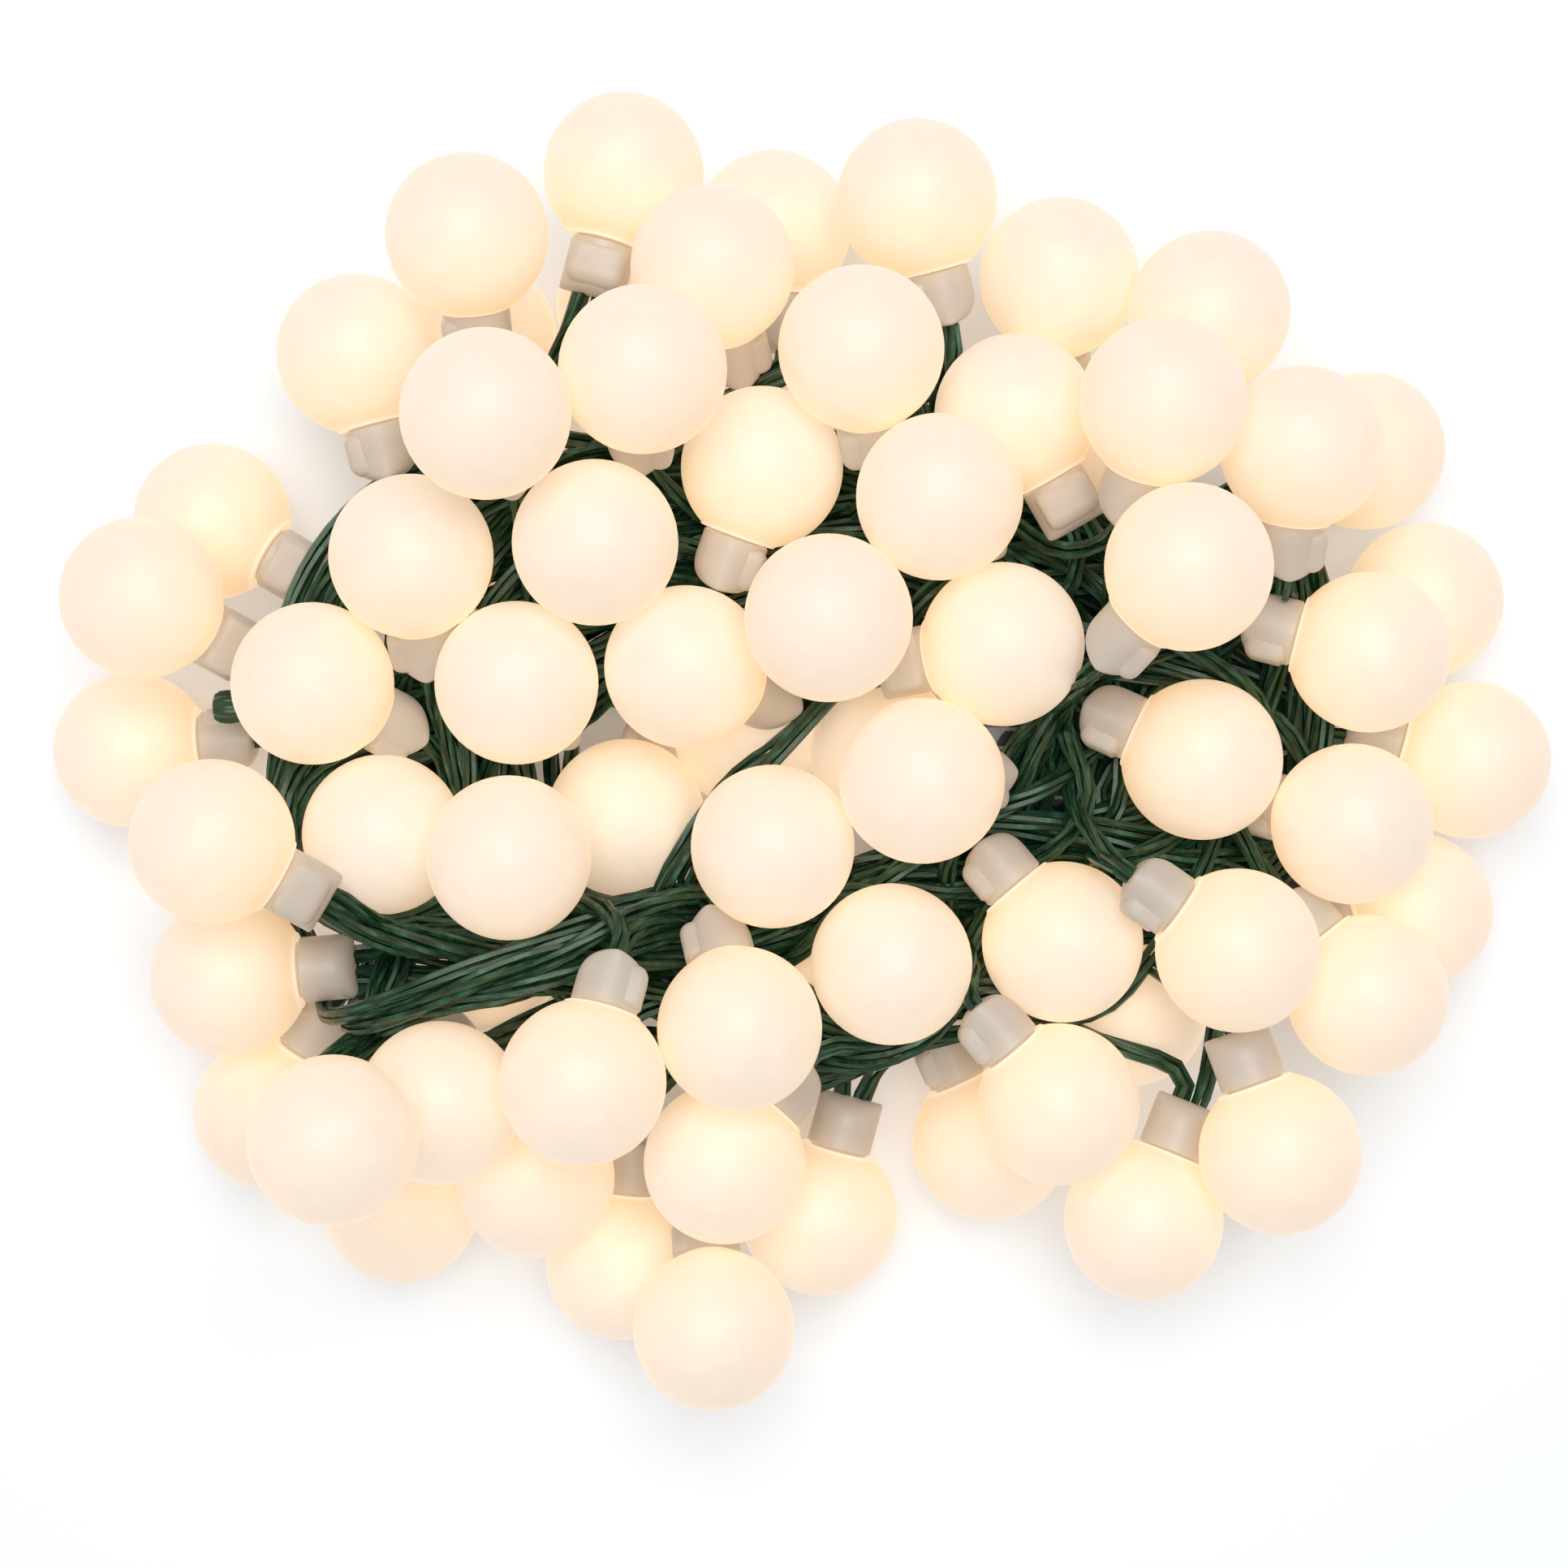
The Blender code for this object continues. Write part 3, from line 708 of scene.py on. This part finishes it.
def catmull_rom(points, step):
    """Points about a step apart along a smooth curve through the given ones."""
    p = np.array(points)
    p = np.concatenate([[2 * p[0] - p[1]], p, [2 * p[-1] - p[-2]]])
    out = []
    for a, b, c, d in zip(p, p[1:], p[2:], p[3:]):
        count = max(1, round(float(np.linalg.norm(c - b)) / step))
        for i in range(count):
            t = i / count
            out.append(0.5 * (2 * b + (c - a) * t + (2 * a - 5 * b + 4 * c - d) * t**2
                              + (3 * b - a - 3 * c + d) * t**3))
    out.append(p[-2])
    return out


def resampled(line, step):
    """The same line with its points a step apart."""
    gaps = np.linalg.norm(np.diff(line, axis=0), axis=1)
    run = np.concatenate([[0], np.cumsum(gaps)])
    count = max(2, round(run[-1] / step) + 1)
    at = np.linspace(0, run[-1], count)
    return np.stack([np.interp(at, run, line[:, k]) for k in range(3)], axis=1)


class Route:
    """The cable's points, which of them are held fast, and at which light each lies (-1 is none)."""

    def __init__(self, feed):
        self.points, self.held, self.owner = [], [], []
        self.lanes = Lanes()
        self.add(resampled(np.array(catmull_rom(feed, STEP)), STEP), True)

    def add(self, points, held=False, light=-1):
        for point in points:
            self.points.append(np.array(point, float))
            self.held.append(held)
            self.owner.append(light)

    def go_to(self, target):
        """A run round the hank to the target, whose own point is left out."""
        last = self.points[-1]
        heading = (last - self.points[-2]) / np.linalg.norm(last - self.points[-2])
        run = run_between(last, target, self.lanes)
        self.add(catmull_rom([last, last + STEP * heading, *run, target], STEP)[2:-1])

    def lay(self, run):
        self.go_to(run[0])
        self.add(catmull_rom(run, STEP))

    def visit(self, matrix, light):
        """In through a lampholder's tail and out again, with the two wires side by side."""
        tail, out, wide = tail_of(matrix)
        toward = lane_point(lane_of(tail)[0] - 0.35, lane_of(tail)[1], tail[2]) - tail
        side = math.copysign(1.0, toward @ wide)
        legs = []
        for sign in (side, -side):
            legs.append([tail + out * far * MM + wide * sign * apart * MM
                         for far, apart in ((14, 2.6), (8, 2.1), (3, 2.0), (-1, 1.9), (-5, 1.6))])
        self.go_to(legs[0][0])
        self.add(legs[0][:2], light=light)
        self.add(legs[0][2:], True, light)
        self.add(legs[1][:1:-1], True, light)
        self.add(legs[1][1::-1], light=light)


def run_on_the_way(laid, start, end):
    """The number of a laid run that lies between two places, or None."""
    for number, run in enumerate(laid):
        begin, finish = sweep_between(start, run[0]), sweep_between(start, run[-1])
        if LEAST_SWEEP < begin < finish < sweep_between(start, end) - LEAST_SWEEP:
            return number
    return None


def first_route(matrices):
    """The whole cable before it settles."""
    route = Route(np.array(FEED_ROUTE) * MM)
    laid = [np.array(points, float) * MM + k * np.array(step) * MM
            for count, step, points in LAID_RUNS for k in range(count)]
    for light in visiting_order(matrices):
        number = run_on_the_way(laid, route.points[-1], tail_of(matrices[light])[0])
        if number is not None:
            route.lay(laid.pop(number))
        route.visit(matrices[light], light)
    for run in laid:
        route.lay(run)
    low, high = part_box("end_cap")
    cap = np.array([high.x, (low.y + high.y) / 2, (low.z + high.z) / 2])
    final = [cap + np.array([d * MM, 0, 0]) for d in (16, 10, 5, 0, -5)]
    route.go_to(final[0])
    route.add(final, True)
    return np.array(route.points), np.array(route.held), np.array(route.owner)


# ---- cable settling


def push_from(points, free, nearest, room, keep_clear):
    """Moves free points out of a ball or a rod, but not over the top of one they keep clear of."""
    away = points - nearest
    above = keep_clear & (away[:, 2] > 0)
    away[above, 2] = 0.0
    far = np.linalg.norm(away, axis=1)
    near = free & (far < room)
    points[near] += away[near] * (room / np.maximum(far[near], 1e-6) - 1)[:, None]
    points[near & above, 2] -= SINK


def push_out(points, owner, centres, ends, tips, unit):
    """Moves points out of the globes, the lampholders, the power unit and the surface below."""
    for light, (centre, end, tip) in enumerate(zip(centres, ends, tips)):
        free = owner != light
        on_top = centre[2] > TOP_LIGHTS_FROM
        beside = lane_of(centre)[1] > CLEAR_LANE
        push_from(points, free, centre, GLOBE_R + CABLE_R, on_top or beside)
        axis = tip - end
        t = np.clip((points - end) @ axis / (axis @ axis), 0, 1)
        push_from(points, free, end + t[:, None] * axis, HOLDER_R + 0.85 * CABLE_R, on_top)
    low, high = unit
    inside = ((points > low) & (points < high)).all(axis=1)
    points[inside, 2] = high[2]
    points[:, 2] = np.maximum(points[:, 2], CABLE_R + 0.2 * MM)


def close_pairs(points, room):
    """Pairs of points of different turns that lie closer than room, found through a grid of cells."""
    cell = np.floor(points / room).astype(np.int64)
    key = cell @ np.array([1 << 40, 1 << 20, 1])
    order = np.argsort(key, kind="stable")
    ordered = key[order]
    here = np.arange(len(points))
    first, second = [], []
    steps = (-1, 0, 1)
    for shift in [(x << 40) + (y << 20) + z for x in steps for y in steps for z in steps]:
        start = np.searchsorted(ordered, key + shift, "left")
        end = np.searchsorted(ordered, key + shift, "right")
        for k in range(int((end - start).max())):
            found = start + k < end
            i, j = here[found], order[start[found] + k]
            later = j > i + 3
            first.append(i[later])
            second.append(j[later])
    first, second = np.concatenate(first), np.concatenate(second)
    near = np.linalg.norm(points[second] - points[first], axis=1) < room
    return first[near], second[near]


def push_apart(points, room):
    """Moves points of different turns of the cable apart."""
    first, second = close_pairs(points, room)
    away = points[second] - points[first]
    far = np.maximum(np.linalg.norm(away, axis=1), 1e-6)
    shift = away * (0.5 * (room - far) / far)[:, None]
    size = len(points)
    count = np.bincount(first, minlength=size) + np.bincount(second, minlength=size)
    for k in range(3):
        total = np.bincount(second, shift[:, k], size) - np.bincount(first, shift[:, k], size)
        points[:, k] += 1.2 * total / np.maximum(count, 1)


def smooth(points, held, rest):
    """Takes out kinks, and a little of each bend."""
    middle = points.copy()
    middle[1:-1] = 0.5 * (points[:-2] + points[2:])
    wide = middle.copy()
    wide[2:-2] = (-points[:-4] + 4 * points[1:-3] + 4 * points[3:-1] - points[4:]) / 6
    points += 0.1 * (middle - points) + 0.5 * (wide - points)
    points[held] = rest


def settle(points, held, owner, matrices, rounds):
    """Lets the cable bend smoothly and lie beside itself and round the lights."""
    centres = [np.array(m)[:3, 3] for m in matrices]
    axes = [np.array(m)[:3, 2] for m in matrices]
    ends = [c - a * 12 * MM for c, a in zip(centres, axes)]
    tips = [c - a * (HOLDER_TAIL - 0.6 * HOLDER_R) for c, a in zip(centres, axes)]
    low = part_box("rear_cover")[0]
    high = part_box("panel_frame")[1]
    unit = (np.array(low) - CABLE_R, np.array(high) + CABLE_R)
    rest = points[held].copy()
    for _ in range(rounds):
        smooth(points, held, rest)
        smooth(points, held, rest)
        push_apart(points, CABLE_ROOM)
        push_out(points, owner, centres, ends, tips, unit)
        points[:, 2] -= SAG
        points[held] = rest
    smooth(points, held, rest)
    return points


# ---- cable mesh


def frames_along(line):
    """Two normals that turn as little as possible along the line."""
    tangent = np.gradient(line, axis=0)
    tangent /= np.maximum(np.linalg.norm(tangent, axis=1), 1e-9)[:, None]
    normal = np.cross(tangent[0], (0.0, 0.0, 1.0))
    normals = []
    for t in tangent:
        normal = normal - (normal @ t) * t
        normal = normal / max(np.linalg.norm(normal), 1e-9)
        normals.append(normal)
    normals = np.array(normals)
    return normals, np.cross(tangent, normals)


def tube(line, radius, sides):
    """Points and faces of a round tube with closed ends."""
    normal, other = frames_along(line)
    turns = 2 * np.pi * np.arange(sides) / sides
    across, up = np.cos(turns)[None, :, None], np.sin(turns)[None, :, None]
    ring = across * normal[:, None, :] + up * other[:, None, :]
    points = (line[:, None, :] + radius * ring).reshape(-1, 3)
    faces = []
    for i in range(len(line) - 1):
        for k in range(sides):
            n = (k + 1) % sides
            faces.append((i * sides + k, (i + 1) * sides + k, (i + 1) * sides + n, i * sides + n))
    start = len(points)
    points = np.concatenate([points, line[:1], line[-1:]])
    last = (len(line) - 1) * sides
    for k in range(sides):
        n = (k + 1) % sides
        faces.append((start, k, n))
        faces.append((start + 1, last + n, last + k))
    return points, faces


def twisted_strands(line):
    """The cable's strands, wound loosely round its middle line."""
    normal, other = frames_along(line)
    run = np.arange(len(line)) * RING_STEP
    angle = 2 * np.pi * run / TWIST_PITCH + 1.4 * np.sin(run / (61 * MM)) + 0.8 * np.sin(run / (23 * MM))
    strands = []
    for strand in range(STRAND_COUNT):
        phase = angle + 2 * np.pi * strand / STRAND_COUNT
        spread = STRAND_OFFSET * (1 + 0.13 * np.sin(run / (17 * MM) + 2.1 * strand))
        offset = np.cos(phase)[:, None] * normal + np.sin(phase)[:, None] * other
        strands.append(tube(line + spread[:, None] * offset, STRAND_R, STRAND_SIDES))
    return joined(*strands)


def make_cable(material, matrices):
    """The settled cable's piece and its middle line."""
    points, held, owner = first_route(matrices)
    points = settle(points, held, owner, matrices, RELAX_ROUNDS)
    line = resampled(points, RING_STEP)
    cable = add_mesh("cable", twisted_strands(line), [material])
    add_strand_map(cable, len(line))
    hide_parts("cable_hank", "feed_lead")
    return cable, line


def add_strand_map(cable, ring_count):
    """A UV map whose U runs round a strand and whose V runs along it."""
    per_strand = ring_count * STRAND_SIDES + 2
    index = np.zeros(len(cable.data.loops), np.int32)
    cable.data.loops.foreach_get("vertex_index", index)
    strand, within = np.divmod(index, per_strand)
    ring, side = np.divmod(np.minimum(within, ring_count * STRAND_SIDES - 1), STRAND_SIDES)
    around = np.abs(2 * side / STRAND_SIDES - 1) + 7.3 * strand
    along = ring * RING_STEP
    layer = cable.data.uv_layers.new(name="strand")
    layer.data.foreach_set("uv", np.stack([0.05 * around, 100 * along], axis=1).astype(np.float32).ravel())


def make_end_cap(material):
    """The sealed far end: the strands' folded ends under a shrunk sleeve."""
    low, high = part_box("end_cap")
    radius, length = (high.y - low.y) / 2, high.x - low.x
    rings = [
        (0.0, 0.3 * MM),
        (radius * 0.35, 0.0),
        (radius * 0.72, 0.4 * MM),
        (radius * 0.92, 1.5 * MM),
        (radius * 0.97, 3.4 * MM),
        (radius * 0.86, 5.4 * MM),
        (radius * 0.93, 7.4 * MM),
        (radius * 0.84, length - 2.2 * MM),
        (CABLE_R, length),
        (CABLE_R * 0.9, length + 0.2 * MM),
        (0.0, length + 0.2 * MM),
    ]
    mesh = laid_along_x(turned(rings, 70, lobes=7, lobe_depth=0.09), low, high)
    piece = add_mesh("cable_end", mesh, [material])
    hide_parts("end_cap")
    return piece


# ---- power unit


def flat_parts(parts):
    """Meshes with a material number each, as one mesh and its faces' material numbers."""
    indices = []
    for mesh, number in parts:
        indices += [number] * len(mesh[1])
    return joined(*(mesh for mesh, _ in parts)), indices


def make_solar_panel(materials):
    """The laminate, with six strips of cells and two tinned ribbons across each."""
    low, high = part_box("solar_cell_laminate")
    parts = [(slab(low, high, 0.6 * MM, 0.1 * MM), 0)]
    strips, edge, gap = 6, 3.2 * MM, 0.5 * MM
    pitch = (high.y - low.y - 2 * edge + gap) / strips
    for strip in range(strips):
        y = low.y + edge + strip * pitch
        cell_low = (low.x + edge, y, high.z - 0.05 * MM)
        cell_high = (high.x - edge, y + pitch - gap, high.z + 0.08 * MM)
        parts.append((slab(cell_low, cell_high, 0.3 * MM, 0.02 * MM), 1))
        for share in (0.3, 0.7):
            ribbon = y + (pitch - gap) * share
            ribbon_low = (low.x + edge, ribbon - 0.35 * MM, high.z)
            ribbon_high = (high.x - edge, ribbon + 0.35 * MM, high.z + 0.12 * MM)
            parts.append((slab(ribbon_low, ribbon_high, 0.05 * MM, 0.01 * MM), 2))
    mesh, indices = flat_parts(parts)
    used = [materials["laminate"], materials["cell"], materials["metal"]]
    piece = add_mesh("solar_panel", mesh, used, indices=indices)
    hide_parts("solar_cell_laminate")


def make_battery(materials):
    """A wrapped cell with bare metal ends and a raised positive cap."""
    low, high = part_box("battery_cell")
    radius, length = (high.y - low.y) / 2, high.x - low.x
    metal = turned([
        (0.0, 0.1 * MM),
        (radius - 1.6 * MM, 0.1 * MM),
        (radius - 1.4 * MM, 0.0),
        (radius - 0.4 * MM, 0.0),
        (radius - 0.15 * MM, 0.4 * MM),
        (radius - 0.15 * MM, length - 1.0 * MM),
        (radius - 0.6 * MM, length - 0.9 * MM),
        (1.95 * MM, length - 0.9 * MM),
        (1.8 * MM, length - 0.1 * MM),
        (1.6 * MM, length),
        (0.0, length),
    ], 48)
    wrap = turned([
        (radius - 0.7 * MM, 0.05 * MM),
        (radius - 0.1 * MM, 0.05 * MM),
        (radius, 0.3 * MM),
        (radius, 2.6 * MM),
        (radius - 0.1 * MM, 3.1 * MM),
        (radius, 3.6 * MM),
        (radius, length - 1.4 * MM),
        (radius - 0.25 * MM, length - 0.8 * MM),
        (radius - 1.1 * MM, length - 0.75 * MM),
        (radius - 1.1 * MM, length - 1.1 * MM),
        (radius - 0.7 * MM, length - 1.1 * MM),
    ], 48, ring_shaped=True)
    mesh, indices = flat_parts([(metal, 1), (wrap, 0)])
    used = [materials["wrap"], materials["metal"]]
    piece = add_mesh("battery", laid_along_x(mesh, low, high), used, indices=indices)
    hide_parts("battery_cell")


def make_board(materials):
    """The circuit board with a legged chip, a coil, a can capacitor and two rows of small parts."""
    low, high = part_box("charge_board")
    top = low.z + 1.6 * MM
    parts = [(slab(low, (high.x, high.y, top), 1.0 * MM, 0.1 * MM), 0)]
    middle = Vector(((low.x + high.x) / 2, (low.y + high.y) / 2 + 2.5 * MM, top))

    def block(x, y, wide, deep, tall, number, corner=0.2 * MM):
        start = (middle.x + x - wide / 2, middle.y + y - deep / 2, top)
        end = (middle.x + x + wide / 2, middle.y + y + deep / 2, top + tall)
        parts.append((slab(start, end, corner, min(0.1 * MM, tall / 4)), number))

    block(0, 0, 10 * MM, 8 * MM, 1.6 * MM, 1)
    for leg in range(6):
        x = (leg - 2.5) * 1.5 * MM
        for side in (-1, 1):
            block(x, side * 4.6 * MM, 0.5 * MM, 1.6 * MM, 0.5 * MM, 2, 0.1 * MM)
    for number in range(5):
        block(-16 * MM + number * 2.6 * MM, -8 * MM, 1.2 * MM, 2.2 * MM, 0.6 * MM, 1)
        block(-16 * MM + number * 2.6 * MM, -10.5 * MM, 1.2 * MM, 0.8 * MM, 0.2 * MM, 2)
    block(13 * MM, -2 * MM, 7 * MM, 7 * MM, 3.0 * MM, 1, 1.5 * MM)
    can = turned([(0.0, 5.2 * MM), (2.2 * MM, 5.2 * MM), (2.5 * MM, 4.9 * MM), (2.5 * MM, 1.2 * MM),
                  (2.3 * MM, 1.0 * MM), (2.6 * MM, 0.7 * MM), (2.6 * MM, 0.0), (0.0, 0.0)], 32)
    parts.append((moved(can, Matrix.Translation(middle + Vector((-13 * MM, 3 * MM, 0)))), 2))
    mesh, indices = flat_parts(parts)
    used = [materials["board"], materials["chip"], materials["metal"]]
    piece = add_mesh("controller_board", mesh, used, indices=indices)
    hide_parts("charge_board")


def make_buttons(material):
    """Rubber push buttons, each with a stop flange inside the wall and a dished cap outside."""
    for name in ("power_button", "mode_button"):
        low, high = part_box(name)
        flange = (high.x - low.x) / 2
        radius = flange - 0.5 * MM
        depth = high.y - low.y
        rings = [
            (0.0, depth),
            (flange, depth),
            (flange, depth - 0.9 * MM),
            (radius, depth - 0.9 * MM),
            (radius, 0.7 * MM),
            (radius - 0.25 * MM, 0.3 * MM),
            (radius - 0.8 * MM, 0.0),
            (radius - 1.4 * MM, 0.1 * MM),
            (radius - 2.2 * MM, 0.45 * MM),
            (0.0, 0.6 * MM),
        ]
        matrix = Matrix.Translation(((low.x + high.x) / 2, low.y, (low.z + high.z) / 2))
        matrix = matrix @ Matrix.Rotation(math.radians(-90), 4, "X")
        piece = add_mesh(f"{name}_cap", turned(rings, 44), [material], name, matrix)
        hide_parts(name)


def make_gland(material):
    """The rubber strain relief: a ribbed, tapered sleeve, a groove for the wall, and an inner flange."""
    low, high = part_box("lead_gland")
    flange, length = (high.y - low.y) / 2, high.x - low.x
    bore = CABLE_R + 0.2 * MM
    rings = [(bore, 0.0), (bore + 0.4 * MM, 0.0)]
    ribs = 3
    for rib in range(ribs):
        start = (0.3 + 1.2 * rib) * MM
        size = bore + (0.75 + 0.3 * rib) * MM
        rings += [(size - 0.35 * MM, start), (size, start + 0.2 * MM), (size, start + 0.7 * MM),
                  (size - 0.35 * MM, start + 0.9 * MM)]
    neck = flange - 0.7 * MM
    rings += [
        (flange, 4.0 * MM),
        (flange, 5.6 * MM),
        (flange - 0.2 * MM, 5.7 * MM),
        (neck, 5.7 * MM),
        (neck, length - 1.2 * MM),
        (flange, length - 1.2 * MM),
        (flange, length - 0.2 * MM),
        (flange - 0.2 * MM, length),
        (bore, length),
    ]
    mesh = laid_along_x(turned(rings, 44, ring_shaped=True), low, high)
    piece = add_mesh("strain_relief", mesh, [material])
    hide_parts("lead_gland")


def make_power_unit(materials):
    """The two housing halves keep their CAD shape; everything else gets a finer piece."""
    for name in ("rear_cover", "panel_frame"):
        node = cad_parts[name]
        node.data.materials.clear()
        node.data.materials.append(materials["housing"])
    make_solar_panel(materials)
    make_battery(materials)
    make_board(materials)
    make_buttons(materials["rubber"])
    make_gland(materials["rubber"])


# ---- stage


def make_stage():
    """A plain white floor, soft light from above and from the sides, and the camera straight above."""
    mesh = bpy.data.meshes.new("floor")
    corners = [(-FLOOR_HALF, -FLOOR_HALF, 0), (FLOOR_HALF, -FLOOR_HALF, 0),
               (FLOOR_HALF, FLOOR_HALF, 0), (-FLOOR_HALF, FLOOR_HALF, 0)]
    mesh.from_pydata(corners, [], [(0, 1, 2, 3)])
    floor = bpy.data.objects.new("floor", mesh)
    bpy.context.scene.collection.objects.link(floor)
    s = Shader("floor_white", Roughness=0.9, Emission_Color=(1.0, 1.0, 1.0, 1.0), Emission_Strength=0.10)
    s.feed(Base_Color=s.mottled(6.0, (0.86, 0.89, 0.92), (0.88, 0.91, 0.94)))
    mesh.materials.append(s.material)

    world = bpy.data.worlds.new("studio")
    bpy.context.scene.world = world
    world.use_nodes = True
    background = world.node_tree.nodes["Background"]
    background.inputs["Color"].default_value = (1.0, 1.0, 1.0, 1.0)
    background.inputs["Strength"].default_value = SKY_STRENGTH

    for name, place, size, power in SOFT_LIGHTS:
        data = bpy.data.lights.new(name, "AREA")
        data.shape = "SQUARE"
        data.size = size
        data.energy = power
        light = bpy.data.objects.new(name, data)
        light.location = place
        light.rotation_euler = (-Vector(place)).to_track_quat("-Z", "Y").to_euler()
        bpy.context.scene.collection.objects.link(light)

    camera_data = bpy.data.cameras.new("camera")
    camera_data.lens = CAMERA_LENS
    camera_data.sensor_width = CAMERA_SENSOR
    camera_data.clip_start = 0.01
    camera = bpy.data.objects.new("camera", camera_data)
    camera.location = CAMERA_PLACE
    bpy.context.scene.collection.objects.link(camera)
    bpy.context.scene.camera = camera
    bpy.context.scene.view_settings.view_transform = "Standard"


# ---- the whole


def main():
    make_stage()
    materials = make_materials()
    names = sorted(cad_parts)
    whole = {n: matrix_of_solid([n]) for n in names if n.startswith("light_")}
    side_names = [n[len("globe_"):] for n in names if n.startswith("globe_")]
    sides = {s: matrix_of_solid([f"globe_{s}", f"lampholder_{s}"]) for s in side_names}
    inner = [matrix_of_place(p) for p in INNER_LIGHTS + UNDER_LIGHTS]

    cable, line = make_cable(materials["cable"], [*whole.values(), *sides.values(), *inner])
    cable_end = make_end_cap(materials["cable"])
    make_lights(materials, whole, sides, inner)
    make_power_unit(materials)


main()
